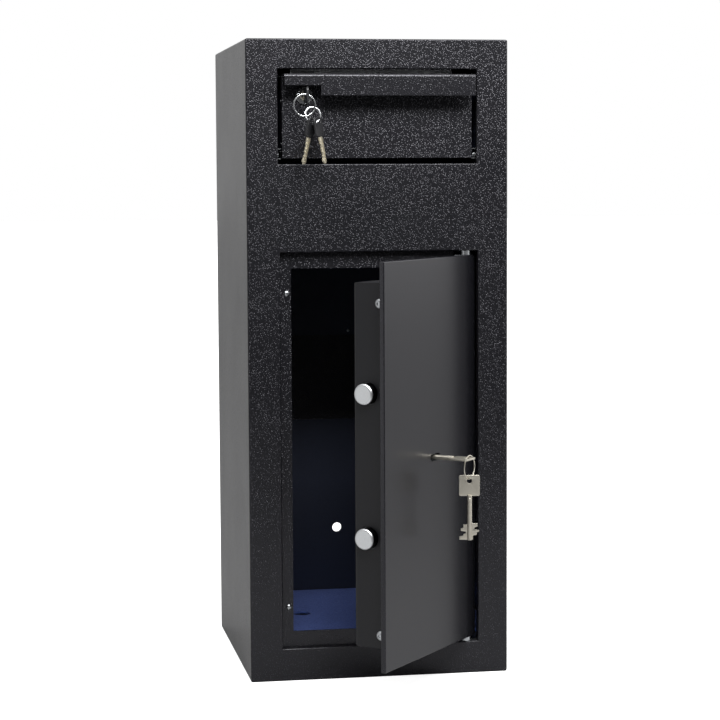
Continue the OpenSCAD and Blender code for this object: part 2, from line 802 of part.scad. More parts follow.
module hard_plate() color(steel) on_door() difference() {
    span([case_x0 - 6, plate_y, key_z - case_h / 2 - 6], [case_x1 + 6, hard_y, key_z + case_h / 2 + 6]);
    keyhole(plate_y - 1, hard_y + 1);
    case_screw_places() rod_y(2.6, plate_y - 1 - case_y, 1, 0, 0);
}

// Corners of the lock case where its screws go
module case_screw_places() {
    for (x = [case_x0 + 7, case_x1 - 7], z = [key_z - case_h / 2 + 7, key_z + case_h / 2 - 7])
        translate([x, case_y, z]) children();
}

module lock_case() color(zinc) on_door() difference() {
    span([case_x0, hard_y, key_z - case_h / 2], [case_x1, case_y - case_t, key_z + case_h / 2]);
    difference() {
        span([case_x0 + case_t, hard_y + case_t, key_z - case_h / 2 + case_t],
             [case_x1 - case_t, case_y, key_z + case_h / 2 - case_t]);
        case_screw_places() rod_y(boss_r, -case_d, 1, 0, 0);
    }
    rod_y(drum_r + drum_fit, hard_y - 1, hard_y + case_t + 1, key_x, key_z);
    case_screw_places() rod_y(2.6, -case_d - 1, 1, 0, 0);
    span([case_x0 - 1, tongue_y0 - seat, key_z - tongue_h / 2 - seat],
         [case_x0 + case_t + 1, tongue_y0 + tongue_t + seat, key_z + tongue_h / 2 + seat]);
}
tongue_y0 = bolt_y - tongue_t / 2;

module lock_cover() color(zinc) on_door() difference() {
    span([case_x0, case_y - case_t, key_z - case_h / 2], [case_x1, case_y, key_z + case_h / 2]);
    case_screw_places() rod_y(2.6, -case_t - 1, 1, 0, 0);
}

module case_screws() color(steel) on_door() case_screw_places() mirror([0, 1, 0])
    button_screw(0, 0, 0, 9, 2.5, 2.5, case_d + hard_t - 0.1);

module locking_bolts() color(chrome) on_door() for (z = bolt_zs) difference() {
    translate([bolt_tip, bolt_y, z]) rotate([0, 90, 0]) rotate_extrude()
        polygon([[0, 0], [bolt_r - 2, 0], [bolt_r, 2], [bolt_r, bolt_len], [0, bolt_len]]);
    rod_x(4, bolt_end - bolt_hole_in, bolt_end + 1, bolt_y, z);
}

module bolt_bar() color(steel) on_door() difference() {
    span([bolt_end, bolt_y - bolt_r, bolt_zs[0] - bolt_r - bar_overlap],
         [bolt_end + bar_t, bolt_y + bolt_r, bolt_zs[1] + bolt_r + bar_overlap]);
    for (z = bolt_zs)
        rod_x(4.1, bolt_end - 1, bolt_end + bar_t + 1, bolt_y, z);
}

module bolt_screws() color(zinc) on_door() for (z = bolt_zs)
    translate([bolt_end + bar_t, bolt_y, z]) rotate([0, 90, 0]) {
        difference() {
            cylinder(r = 6.5, h = 6);
            translate([0, 0, 3]) cylinder(r = 3.4, h = 4, $fn = 6);
        }
        translate([0, 0, -bar_t - bolt_screw_in]) cylinder(r = 3.9, h = bar_t + bolt_screw_in + weld);
    }

module lock_tongue() color(zinc) on_door()
    span([bolt_end + bar_t, tongue_y0, key_z - tongue_h / 2],
         [case_x0 + case_t + 4, tongue_y0 + tongue_t, key_z + tongue_h / 2]);

// One half of the stepped double bit; each step is its start along the bit and its reach
module bit_half(steps) {
    for (i = [0 : len(steps) - 1]) {
        y0 = steps[i][0] * bit_len;
        y1 = i + 1 < len(steps) ? steps[i + 1][0] * bit_len : bit_len;
        translate([0, y0 - weld]) square([steps[i][1] * bit_w / 2, y1 - y0 + weld]);
    }
}

// Door key lying along +Y with its bow's outer end at the origin
module key_body() {
    t = bow_t;
    difference() {
        translate([0, 0, -t / 2]) linear_extrude(t) difference() {
            translate([0, bow_w / 2]) round_rect(bow_w, bow_w, 1.5);
            translate([0, bow_hole_in]) circle(d = bow_hole_d);
        }
        translate([0, bow_w - 1, 0]) rotate([-90, 0, 0]) cylinder(d = stem_d - 0.4, h = 2);
    }
    translate([0, bow_w - 1, 0]) rotate([-90, 0, 0]) cylinder(d = stem_d, h = key_len - bow_w + 1);
    translate([0, key_len - bit_len - bit_end, -t / 2]) linear_extrude(t) {
        bit_half([[0, 0.8], [0.2, 0.5], [0.37, 0.96], [0.5, 0.74], [0.7, 0.34]]);
        mirror([1, 0]) bit_half([[0.07, 0.6], [0.28, 0.86], [0.46, 0.36], [0.62, 0.6], [0.76, 1]]);
    }
}

// Drum that turns with the key and carries its stem in the lock case's front wall
module key_drum() color(zinc) on_door() difference() {
    rod_y(drum_r, hard_y + 0.1, bit_y - seat, key_x, key_z);
    rod_y(stem_d / 2 + seat, hard_y - 1, bit_y, key_x, key_z);
    span([key_x - bit_w / 2 - seat, hard_y - 1, key_z - bow_t / 2 - seat],
         [key_x + bit_w / 2 + seat, bit_y, key_z + bow_t / 2 + seat]);
}

module door_key() color(nickel) on_door()
    translate([key_x, key_y, key_z]) key_body();

// Centre of the wire ring, seen from the hole in the bow
ring_dx = wire_ring_r * cos(ring_drop);
ring_dz = -wire_ring_r * sin(ring_drop);

module key_wire_ring() color(zinc) on_door()
    translate([key_x + ring_dx, key_hole_y, key_z + ring_dz])
        rotate([90, 0, 0]) torus(wire_ring_r, wire_d / 2);

module spare_door_key() color(nickel) on_door()
    translate([key_x + ring_dx, key_hole_y, key_z + ring_dz - wire_ring_r])
        rotate(spare_yaw - 90) rotate([-90, 0, 0])
            translate([0, -bow_hole_in + (bow_hole_d - wire_d) / 2 - 0.4, 0]) key_body();

// Profile of the drawer front and its lip, seen along X
module lip_profile() {
    y1 = panel_y - lip_out;
    t = front_t;
    r = lip_r;
    translate([panel_y, front_z0]) square([t, front_z1 - front_z0 - r]);
    translate([y1 + r, front_z1 - t]) square([lip_out + t - 2 * r, t]);
    translate([y1, front_z1 - lip_h]) square([t, lip_h - r]);
    for (c = [[panel_back - r, 0], [y1 + r, 1]])
        translate([c[0], front_z1 - r]) mirror([c[1], 0]) intersection() {
            difference() {
                circle(r);
                circle(r - t);
            }
            square([r, r]);
        }
}

module drawer_front() color(paint) difference() {
    union() {
        translate([front_x0, 0, 0]) rotate([90, 0, 90]) linear_extrude(front_x1 - front_x0) lip_profile();
        for (x = [front_x0, front_x1 - hem_t])
            span([x, panel_back - weld, front_z0], [x + hem_t, panel_back + hem, front_z1 - lip_r]);
        span([front_x0, panel_back - weld, front_z0], [front_x1, panel_back + hem, front_z0 + hem_t]);
    }
    span([front_x0 - 1, panel_y - lip_out - 1, front_z1 - lip_h - 1],
         [front_x0 + lip_notch_w, panel_y - lip_r, front_z1 - lip_notch_h]);
    rod_y(barrel_d / 2 + 0.1, panel_y - 1, panel_back + 1, cyl_x, cyl_z);
    rivet_places() rod_x(1.9, -1, hem_t + 1, 0, 0);
}

// Rivets that join the front's hems to the tray's sides
module rivet_places() {
    for (s = [0, 1], z = [tray_z + rivet_low, tray_z + tray_h - rivet_high])
        mirror([s, 0, 0]) translate([tray_x, panel_back + rivet_in, z]) children();
}

module drawer_tray() color(inner_paint) difference() {
    union() {
        span([-tray_x, panel_back, tray_z], [tray_x, tray_y1, tray_z + tray_t]);
        for (s = [0, 1]) mirror([s, 0, 0])
            span([tray_x - tray_t, panel_back, tray_z], [tray_x, tray_y1, tray_z + tray_h]);
    }
    rivet_places() rod_x(1.9, -tray_t - 1, 1, 0, 0);
}

module tray_rivets() color(zinc) rivet_places() {
    rod_x(1.8, -tray_t - 1, hem_t + 0.2, 0, 0);
    rod_x(3, -tray_t - 1, -tray_t, 0, 0);
}

// Ledges on the tray's sides that run on the rollers
module tray_ledges() color(zinc) for (s = [0, 1]) mirror([s, 0, 0]) {
    y0 = panel_back + hem + 0.5;
    span([tray_x, y0, tray_z], [tray_x + hem_t, tray_y1, ledge_z + ledge_t]);
    span([tray_x, y0, ledge_z], [ledge_x, tray_y1, ledge_z + ledge_t]);
}

module tray_rollers() color(plastic) for (s = [0, 1]) mirror([s, 0, 0])
    rod_x(roller_r, tray_x + hem_t, tray_x + hem_t + roller_l, rear_roller_y, roller_z);

module lock_barrel() color(chrome) difference() {
    union() {
        rod_y(rim_r, panel_y - rim_t, panel_y, cyl_x, cyl_z);
        rod_y(barrel_d / 2, panel_y - weld, barrel_y, cyl_x, cyl_z);
    }
    rod_y(plug_r + 0.05, panel_y - rim_t - 1, barrel_y + 1, cyl_x, cyl_z);
}

module barrel_nut() color(zinc) difference() {
    rod_y(barrel_d / 2 + 4.5, panel_back, panel_back + 4, cyl_x, cyl_z, $fn = 6);
    rod_y(barrel_d / 2 + 0.05, panel_back - 1, panel_back + 5, cyl_x, cyl_z);
}

module lock_plug() color(nickel) difference() {
    rod_y(plug_r, panel_y - rim_t - 0.5, cam_y, cyl_x, cyl_z);
    span([cyl_x - keyway_w / 2, panel_y - rim_t - 2, cyl_z - keyway_h / 2],
         [cyl_x + keyway_w / 2, head_y + blade_l + 0.3, cyl_z + keyway_h / 2]);
    rod_y(2.1, cam_y - 3.7, cam_y + 1, cyl_x, cyl_z);
}

module lock_cam() color(zinc) difference() {
    union() {
        rod_y(cam_w / 2, cam_y, cam_y + cam_t, cyl_x, cyl_z);
        span([cyl_x, cam_y, cyl_z - cam_w / 2], [cyl_x + cam_l, cam_y + cam_t, cyl_z + cam_w / 2]);
    }
    rod_y(2.2, cam_y - 1, cam_y + cam_t + 1, cyl_x, cyl_z);
}

module cam_screw() color(steel) {
    rod_y(4, cam_y + cam_t, cam_y + cam_t + 2.5, cyl_x, cyl_z);
    rod_y(2, cam_y - 3.5, cam_y + cam_t + weld, cyl_x, cyl_z);
}

// Moulded head standing up from the origin, with its hole near the far end
module head_body() {
    translate([0, 0, -head_t / 2]) linear_extrude(head_t) difference() {
        translate([0, head_h / 2]) round_rect(head_w, head_h, 4);
        translate([0, head_h - head_slot_in]) round_rect(head_slot_w, head_slot_h, 1.2);
    }
}

// Flat blade hanging down from the origin
module blade_body() {
    tip = blade_w * 0.3;
    w = blade_w / 2;
    translate([0, 0, -blade_t / 2]) linear_extrude(blade_t)
        polygon([[-w, 0], [w, 0], [w, -blade_l + tip], [w - tip, -blade_l], [-w + tip, -blade_l],
                 [-w, -blade_l + tip]]);
}

// The key in the lock stands on edge and points into the plug
module in_lock() {
    translate([cyl_x, head_y, cyl_z]) rotate([0, -90, 180]) children();
}

module drawer_key_head() color(plastic) in_lock() head_body();

module drawer_key_blade() color(nickel) in_lock() blade_body();

// Centres of the split rings, worked out from the hole in the head
big_x = cyl_x - big_ring_r * sin(big_ring_turn);
big_z = cyl_z - big_ring_r * cos(big_ring_turn);
link = big_ring_r + 2.6;
small_x = big_x + link * sin(small_ring_turn);
small_z = big_z - link * cos(small_ring_turn);

module large_split_ring() color(nickel) translate([big_x, ring_y, big_z])
    rotate([90, 0, 0]) torus(big_ring_r, ring_d / 2);

module small_split_ring() color(nickel) translate([small_x, ring_y, small_z])
    rotate([0, -small_ring_turn, 0]) rotate([0, 0, small_ring_tilt]) rotate([90, 0, 0])
        torus(small_ring_r, ring_d / 2);

// A key that hangs from the small ring at an angle round it, then yawed and tilted
module hung_key(at, yaw, tilt) {
    along = small_ring_r * sin(at);
    below = -small_ring_r * cos(at);
    across = along * cos(small_ring_tilt);
    px = small_x + across * cos(small_ring_turn) - below * sin(small_ring_turn);
    pz = small_z + across * sin(small_ring_turn) + below * cos(small_ring_turn);
    translate([px, ring_y + along * sin(small_ring_tilt), pz])
        rotate([0, tilt, 0]) rotate(yaw) rotate([90, 0, 0])
            translate([0, head_slot_in - head_h + 0.4, 0]) children();
}
left_at = -69.5;
left_yaw = 52;
left_tilt = 12;
right_at = -23.5;
right_yaw = 52;
right_tilt = -10;

module left_key_head() color(plastic) hung_key(left_at, left_yaw, left_tilt) head_body();
module left_key_blade() color(nickel) hung_key(left_at, left_yaw, left_tilt) blade_body();
module right_key_head() color(plastic) hung_key(right_at, right_yaw, right_tilt) head_body();
module right_key_blade() color(nickel) hung_key(right_at, right_yaw, right_tilt) blade_body();

body_wrap();
front_frame();
back_panel();
back_doubler();
side_stop();
end_stops();
strike_rail();
jamb_screws();
hinge_brackets();
hinge_pins();
hinge_washers();
drawer_housing();
rear_baffle();
baffle_rivet();
chute_plate();
anti_fishing_comb();
cabinet_tracks();
cabinet_rollers();
flap_rod();
flap_stop();
lock_strike();
raised_floor();
felt_mat();
one_way_flap();
door_plate();
hinge_blocks();
pan_tabs();
door_pan();
pan_screws();
bolt_guides();
hard_plate();
lock_case();
lock_cover();
case_screws();
locking_bolts();
bolt_bar();
bolt_screws();
lock_tongue();
key_drum();
door_key();
key_wire_ring();
spare_door_key();
drawer_front();
drawer_tray();
tray_rivets();
tray_ledges();
tray_rollers();
lock_barrel();
barrel_nut();
lock_plug();
lock_cam();
cam_screw();
drawer_key_head();
drawer_key_blade();
large_split_ring();
small_split_ring();
left_key_head();
left_key_blade();
right_key_head();
right_key_blade();
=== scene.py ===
"""Finishes and fine pieces for the drop safe with a deposit drawer, on a plain studio floor."""
import json
import math
from collections import defaultdict

import bmesh
import bpy
from bpy.props import FloatProperty, FloatVectorProperty, IntProperty, PointerProperty
from mathutils import Matrix, Vector


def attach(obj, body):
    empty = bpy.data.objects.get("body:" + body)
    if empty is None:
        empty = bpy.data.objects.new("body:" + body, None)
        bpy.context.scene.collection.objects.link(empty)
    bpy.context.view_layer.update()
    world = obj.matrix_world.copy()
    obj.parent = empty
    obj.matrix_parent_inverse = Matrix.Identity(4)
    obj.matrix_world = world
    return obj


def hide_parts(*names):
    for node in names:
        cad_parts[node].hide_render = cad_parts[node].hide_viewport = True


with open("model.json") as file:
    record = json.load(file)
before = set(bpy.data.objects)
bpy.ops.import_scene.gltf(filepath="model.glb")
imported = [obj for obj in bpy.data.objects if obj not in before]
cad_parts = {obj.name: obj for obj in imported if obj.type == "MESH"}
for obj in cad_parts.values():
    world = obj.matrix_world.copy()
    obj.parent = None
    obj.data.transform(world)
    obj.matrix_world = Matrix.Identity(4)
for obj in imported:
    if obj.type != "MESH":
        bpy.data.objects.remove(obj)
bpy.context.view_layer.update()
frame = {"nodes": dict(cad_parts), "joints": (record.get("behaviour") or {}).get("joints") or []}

bl_info = {
    "name": "Drop safe dressing",
    "version": (1, 0, 0),
    "blender": (4, 5, 0),
    "location": "View3D > Sidebar > Drop Safe",
    "description": "Dresses the packed drop safe with its finishes and fine pieces",
    "category": "Object",
}

MM = 0.001

# The door hangs on this joint, and the low end of its range is the shut door
DOOR_JOINT = next(joint for joint in frame["joints"] if joint["name"] == "door_swing")
DOOR_AXIS = Vector(DOOR_JOINT["pos_m"])
DOOR_ANGLE = math.radians(-DOOR_JOINT["range_deg"][0])
SWUNG = Matrix.Translation(DOOR_AXIS) @ Matrix.Rotation(DOOR_ANGLE, 4, "Z") @ Matrix.Translation(-DOOR_AXIS)
SHUT = SWUNG.inverted()
TO_THE_FRONT = Vector((0, -1, 0))

# Limits for merging, flattening and rounding meshes; a plate is merged while it is still in millimetres
MERGE_DISTANCE = 0.001 * MM
SHELL_MERGE_DISTANCE = 0.002 * MM
PLATE_MERGE_MM = 0.002
FLAT_ANGLE = math.radians(0.3)
BEVEL_ANGLE = math.radians(28)

# Distances between the marks of the finishes' patterns, in millimetres
COAT_CLOUD = 90
FINE_COAT_GRAIN = 2.2
ORANGE_PEEL = 3.5
MOULD_GRAIN = 0.6
FELT_BEND = 9
FELT_CLUMP = 2.6
PAPER_TOOTH = 4

# Finishes of the carried-over CAD nodes
COATED_NODES = ["back_panel", "side_stop", "end_stops"]
INSIDE_NODES = [
    "back_doubler", "strike_rail", "drawer_housing", "rear_baffle", "chute_plate", "drawer_tray",
    "raised_floor",
]
ZINC_NODES = [
    "hinge_pins", "hinge_washers", "anti_fishing_comb", "flap_rod", "flap_stop", "one_way_flap", "lock_case",
    "lock_cover", "bolt_screws", "lock_tongue", "key_drum", "tray_ledges", "barrel_nut", "lock_cam",
]
BARE_NODES = [
    "hinge_brackets", "hinge_blocks", "cabinet_tracks", "cabinet_rollers", "pan_tabs", "bolt_guides",
    "hard_plate", "bolt_bar", "case_screws", "lock_strike", "cam_screw",
]
CHROME_NODES = ["lock_barrel"]
NICKEL_NODES = ["key_wire_ring", "lock_plug"]
PLASTIC_NODES = ["tray_rollers"]


def linear(hex_colour):
    """Turns an sRGB hex value to linear red, green and blue."""
    values = [int(hex_colour[i:i + 2], 16) / 255 for i in (1, 3, 5)]
    return tuple(v / 12.92 if v <= 0.04045 else ((v + 0.055) / 1.055) ** 2.4 for v in values)


def colour_property(name, description, hex_colour):
    """A colour that a user may change, with its sRGB default."""
    return FloatVectorProperty(
        name=name, description=description, subtype="COLOR", size=3, min=0, max=1, default=linear(hex_colour)
    )


def size_property(name, description, millimetres):
    """A length that a user may change, with its default in millimetres."""
    return FloatProperty(name=name, description=description, unit="LENGTH", min=0, default=millimetres * MM)


class DropSafeFinishes(bpy.types.PropertyGroup):
    """Colours and grain sizes of the finishes."""

    coat: colour_property("Coat", "Textured black powder coat", "#121215")
    # Painted highlight: the grain tips are painted lighter, standing in for the glints of light on the grains
    coat_grain_glint: colour_property("Coat grain glint", "Tips of the powder coat's grain", "#2E2E34")
    # Painted light: lighter and bluer than the outer coat, standing in for the light and the felt's blue
    # bounce inside the safe
    inside: colour_property("Inside coat", "Smooth coat of the inner sheets", "#1D212F")
    tray: colour_property("Tray coat", "Smooth coat of the tray behind the door", "#0F0F12")
    # Painted shade: the bolts' sides are near black, standing in for the shadow along them
    bolt_side_shade: colour_property("Bolt side steel with painted shade", "Shade-darkened sides of the bolts", "#1E1E21")
    zinc: colour_property("Zinc", "Clear zinc plate", "#C6C9CC")
    bare: colour_property("Bare steel", "Cold-rolled steel", "#8C8E90")
    chrome: colour_property("Chrome", "Chrome plate", "#E2E4E6")
    nickel: colour_property("Nickel", "Nickel-plated keys", "#D8D3C6")
    nickel_silver: colour_property("Nickel silver", "Blades of the drawer's keys", "#E0D8C2")
    plastic: colour_property("Plastic", "Moulded black heads", "#121214")
    felt: colour_property("Felt", "Blue felt of the mat", "#24356A")
    felt_light: colour_property("Felt fibres", "Lighter fibres in the felt", "#4A60A4")
    floor: colour_property("Floor", "Pale studio floor", "#F5F5F4")
    grain_size: size_property("Grain size", "Distance between the powder coat's grains", 1.95)
    grain_height: size_property("Grain height", "Height of the powder coat's grains", 0.42)


class DropSafeSheets(bpy.types.PropertyGroup):
    """Edge rounding of the sheet-metal pieces."""

    shell_ease: size_property("Body edge", "Rounding of the body's edges", 0.5)
    door_ease: size_property("Door edge", "Rounding of the door plate's edges", 0.4)
    pan_ease: size_property("Pan edge", "Rounding of the pan's cut edges", 0.25)
    lip_ease: size_property("Lip edge", "Rounding of the drawer front's cut edges", 0.4)


class DropSafeHardware(bpy.types.PropertyGroup):
    """Sizes of the screws and rivets."""

    pan_head: size_property("Pan screw head", "Height of the pan screws' heads", 3.2)
    jamb_head: size_property("Jamb screw head", "Height of the jamb screws' heads", 2.2)
    rivet_head: size_property("Rivet head", "Height of the rivets' heads", 1.0)
    bolt_ease: size_property("Bolt edge", "Rounding of the bolts' ends", 0.9)
    sides: IntProperty(name="Sides", description="Sides of a round head", default=40, min=12, max=96)


class DropSafeKeys(bpy.types.PropertyGroup):
    """Sizes of the keys and rings."""

    bow: size_property("Bow", "Width and height of a door key's bow", 27)
    bow_hole: size_property("Bow hole", "Diameter of the hole in the bow", 6.8)
    bow_hole_in: size_property("Bow hole distance", "Distance of that hole from the bow's end", 7.2)
    stem: size_property("Stem", "Diameter of a door key's stem", 6.6)
    bit_length: size_property("Bits", "Length of a door key's bits", 21.5)
    bit_end: size_property("Key nose", "Length of stem beyond the bits", 0.5)
    head_corner: size_property("Head corner", "Corner radius of a moulded head", 5)
    head_slot: size_property("Head slot", "Width of the slot in a moulded head", 12)
    head_slot_height: size_property("Head slot height", "Height of that slot", 4.8)
    blade_cut: size_property("Cut depth", "Deepest cut in a drawer key's blade", 2.2)
    coil_gap: size_property("Coil gap", "Gap between the turns of a split ring", 0.06)


class DropSafeSettings(bpy.types.PropertyGroup):
    """All settings of the drop safe."""

    finishes: PointerProperty(type=DropSafeFinishes)
    sheets: PointerProperty(type=DropSafeSheets)
    hardware: PointerProperty(type=DropSafeHardware)
    keys: PointerProperty(type=DropSafeKeys)


def add(tree, kind, settings=None, values=None, links=None):
    """Adds a node with its settings, its socket values and its incoming links."""
    made = tree.nodes.new(kind)
    for key, value in (settings or {}).items():
        setattr(made, key, value)
    for key, value in (values or {}).items():
        made.inputs[key].default_value = value
    for key, source in (links or {}).items():
        tree.links.new(source, made.inputs[key])
    return made


def per_metre(millimetres):
    """Texture scale at which a pattern repeats at this distance."""
    return 1 / (millimetres * MM)


def new_material(name):
    """Empty material with its output, shader and the piece's own coordinates."""
    material = bpy.data.materials.new(name)
    material.use_nodes = True
    tree = material.node_tree
    tree.nodes.clear()
    out = add(tree, "ShaderNodeOutputMaterial")
    shader = add(tree, "ShaderNodeBsdfPrincipled")
    tree.links.new(shader.outputs["BSDF"], out.inputs["Surface"])
    place = add(tree, "ShaderNodeTexCoord").outputs["Object"]
    return material, tree, shader, place


def link_patterns(tree, shader, colour, roughness, bump):
    """Links a finish's colour, roughness and bump to its shader."""
    tree.links.new(colour.outputs["Result"], shader.inputs["Base Color"])
    tree.links.new(roughness.outputs["Result"], shader.inputs["Roughness"])
    tree.links.new(bump.outputs["Normal"], shader.inputs["Normal"])


# Tint that the coats give their gloss, slightly blue
COOL_GLOSS = (0.95, 0.94, 1.0, 1.0)


def powder_coat():
    """Polyester powder coat baked on steel: its grains are raised bumps on a dark, half-matt coat, and their
    tips are painted lighter as painted glints.
    """
    finish = bpy.context.scene.drop_safe.finishes
    material, tree, shader, place = new_material("Textured black powder coat")
    shader.inputs["Specular IOR Level"].default_value = 0.45
    shader.inputs["Specular Tint"].default_value = COOL_GLOSS
    # Real grains are about 1 mm apart; they are drawn coarser here so that they show
    cell = add(tree, "ShaderNodeTexVoronoi", {"feature": "F1"}, {"Scale": per_metre(finish.grain_size / MM)},
               {"Vector": place})
    bead = add(tree, "ShaderNodeMapRange", {"interpolation_type": "SMOOTHSTEP"},
               {"From Min": 0.0, "From Max": 0.5, "To Min": 1.0, "To Max": 0.0},
               {"Value": cell.outputs["Distance"]})
    # Each grain stands up by its own amount, so some show and others don't
    pick = add(tree, "ShaderNodeMapRange", {"interpolation_type": "SMOOTHSTEP"},
               {"From Min": 0.35, "From Max": 0.75, "To Min": 0.3, "To Max": 1.0},
               {"Value": cell.outputs["Color"]})
    height = add(tree, "ShaderNodeMath", {"operation": "MULTIPLY"}, None,
                 {0: bead.outputs["Result"], 1: pick.outputs["Result"]})
    # The grain tips are painted lighter than the coat: a painted highlight for the glints on the grains
    coat_with_glints = add(tree, "ShaderNodeMix", {"data_type": "RGBA"},
                 {"A": (*finish.coat, 1), "B": (*finish.coat_grain_glint, 1)}, {"Factor": height.outputs[0]})
    cloud = add(tree, "ShaderNodeTexNoise", None,
                {"Scale": per_metre(COAT_CLOUD), "Detail": 2.0}, {"Vector": place})
    gloss = add(tree, "ShaderNodeMapRange", None,
                {"To Min": 0.28, "To Max": 0.34}, {"Value": cloud.outputs["Fac"]})
    bump = add(tree, "ShaderNodeBump", None,
               {"Strength": 0.9, "Distance": finish.grain_height}, {"Height": height.outputs[0]})
    link_patterns(tree, shader, coat_with_glints, gloss, bump)
    return material


def fine_coat():
    """The same coat laid on thinner over the door and the wrap, so its grain is flatter; its high spots are
    painted lighter as painted glints.
    """
    finish = bpy.context.scene.drop_safe.finishes
    material, tree, shader, place = new_material("Fine black powder coat")
    shader.inputs["Specular IOR Level"].default_value = 0.42
    shader.inputs["Specular Tint"].default_value = COOL_GLOSS
    # Drawn about as coarse as the other coat's grain, because the real one is too fine to show
    grain = add(tree, "ShaderNodeTexNoise", None,
                {"Scale": per_metre(FINE_COAT_GRAIN), "Detail": 3.0, "Roughness": 0.6}, {"Vector": place})
    tone = add(tree, "ShaderNodeMapRange", None,
               {"From Min": 0.45, "From Max": 0.8, "To Max": 0.5}, {"Value": grain.outputs["Fac"]})
    # High spots of the grain are painted lighter: a painted highlight for their glints
    coat_with_glints = add(tree, "ShaderNodeMix", {"data_type": "RGBA"},
                 {"A": (*finish.coat, 1), "B": (*finish.coat_grain_glint, 1)}, {"Factor": tone.outputs["Result"]})
    bump = add(tree, "ShaderNodeBump", None,
               {"Strength": 0.4, "Distance": 0.1 * MM}, {"Height": grain.outputs["Fac"]})
    gloss = add(tree, "ShaderNodeMapRange", None,
                {"To Min": 0.23, "To Max": 0.29}, {"Value": grain.outputs["Fac"]})
    link_patterns(tree, shader, coat_with_glints, gloss, bump)
    return material


def smooth_coat(name, colour):
    """Thin coat on folded sheet: nearly smooth, dark, with a faint orange peel."""
    material, tree, shader, place = new_material(name)
    shader.inputs["Specular IOR Level"].default_value = 0.35
    peel = add(tree, "ShaderNodeTexNoise", None,
               {"Scale": per_metre(ORANGE_PEEL), "Detail": 2.0}, {"Vector": place})
    shade = add(tree, "ShaderNodeMix", {"data_type": "RGBA"},
                {"A": (*colour, 1), "B": (*[c * 1.5 for c in colour], 1)},
                {"Factor": peel.outputs["Fac"]})
    bump = add(tree, "ShaderNodeBump", None,
               {"Strength": 0.3, "Distance": 0.06 * MM}, {"Height": peel.outputs["Fac"]})
    gloss = add(tree, "ShaderNodeMapRange", None,
                {"To Min": 0.36, "To Max": 0.5}, {"Value": peel.outputs["Fac"]})
    link_patterns(tree, shader, shade, gloss, bump)
    return material


def inside_coat():
    """Smooth coat of the inner sheets: nearly black, lifted above the outer coat and tinted blue as painted
    light for the light and the felt's blue bounce inside the safe.
    """
    return smooth_coat("Smooth inner coat with painted light", bpy.context.scene.drop_safe.finishes.inside)


def tray_coat():
    """Smooth coat of the tray behind the door: neutral black with a dull gloss."""
    return smooth_coat("Smooth tray coat", bpy.context.scene.drop_safe.finishes.tray)


def metal(name, colour, roughness, mark_size, mark_height, stretch=(1, 1, 1)):
    """Metal whose grain or tool marks break up the reflection; stretch draws the marks out.

    The marks are drawn coarser than real ones, which are too fine to show. Sizes are in millimetres.
    """
    material, tree, shader, place = new_material(name)
    shader.inputs["Metallic"].default_value = 1.0
    turned = add(tree, "ShaderNodeMapping", None, {"Scale": stretch}, {"Vector": place})
    marks = add(tree, "ShaderNodeTexNoise", None,
                {"Scale": per_metre(mark_size), "Detail": 4.0, "Roughness": 0.6},
                {"Vector": turned.outputs["Vector"]})
    tone = add(tree, "ShaderNodeMix", {"data_type": "RGBA"},
               {"A": (*[c * 0.82 for c in colour], 1), "B": (*colour, 1)}, {"Factor": marks.outputs["Fac"]})
    gloss = add(tree, "ShaderNodeMapRange", None,
                {"To Min": roughness * 0.75, "To Max": roughness * 1.25}, {"Value": marks.outputs["Fac"]})
    bump = add(tree, "ShaderNodeBump", None,
               {"Strength": 0.35, "Distance": mark_height * MM}, {"Height": marks.outputs["Fac"]})
    link_patterns(tree, shader, tone, gloss, bump)
    return material


def zinc_plate():
    """Clear-passivated zinc: pale, slightly cloudy, half bright."""
    colour = bpy.context.scene.drop_safe.finishes.zinc
    return metal("Clear zinc plate", colour, roughness=0.32, mark_size=6, mark_height=0.02)


def bare_steel():
    """Cold-rolled steel: grey with long rolling lines."""
    colour = bpy.context.scene.drop_safe.finishes.bare
    return metal("Cold-rolled steel", colour, roughness=0.42, mark_size=2, mark_height=0.03,
                 stretch=(1, 1, 0.08))


def turned_steel():
    """Faced and chromed bar end: fine tool marks give it an even pale grey."""
    colour = bpy.context.scene.drop_safe.finishes.chrome
    return metal("Turned chrome steel", colour, roughness=0.38, mark_size=1.6, mark_height=0.03)


def bolt_side_shade_steel():
    """Bolt side: near black with a satin gloss; the near black is painted shade for the shadow along the
    side.
    """
    colour = bpy.context.scene.drop_safe.finishes.bolt_side_shade
    return metal("Bolt side steel with painted shade", colour, roughness=0.3, mark_size=3, mark_height=0.01)


def chrome_plate():
    """Chrome plate on spring steel or brass: bright, a little brushed by use."""
    colour = bpy.context.scene.drop_safe.finishes.chrome
    return metal("Chrome plate", colour, roughness=0.26, mark_size=4, mark_height=0.01)


def nickel_plate():
    """Nickel plate on a die-cast key: warm, satin, with tumbling marks."""
    colour = bpy.context.scene.drop_safe.finishes.nickel
    return metal("Satin nickel plate", colour, roughness=0.42, mark_size=3, mark_height=0.008)


def nickel_silver():
    """Milled nickel silver: yellowish white with fine cutter lines."""
    colour = bpy.context.scene.drop_safe.finishes.nickel_silver
    return metal("Milled nickel silver", colour, roughness=0.42, mark_size=1.5, mark_height=0.006,
                 stretch=(1, 1, 0.2))


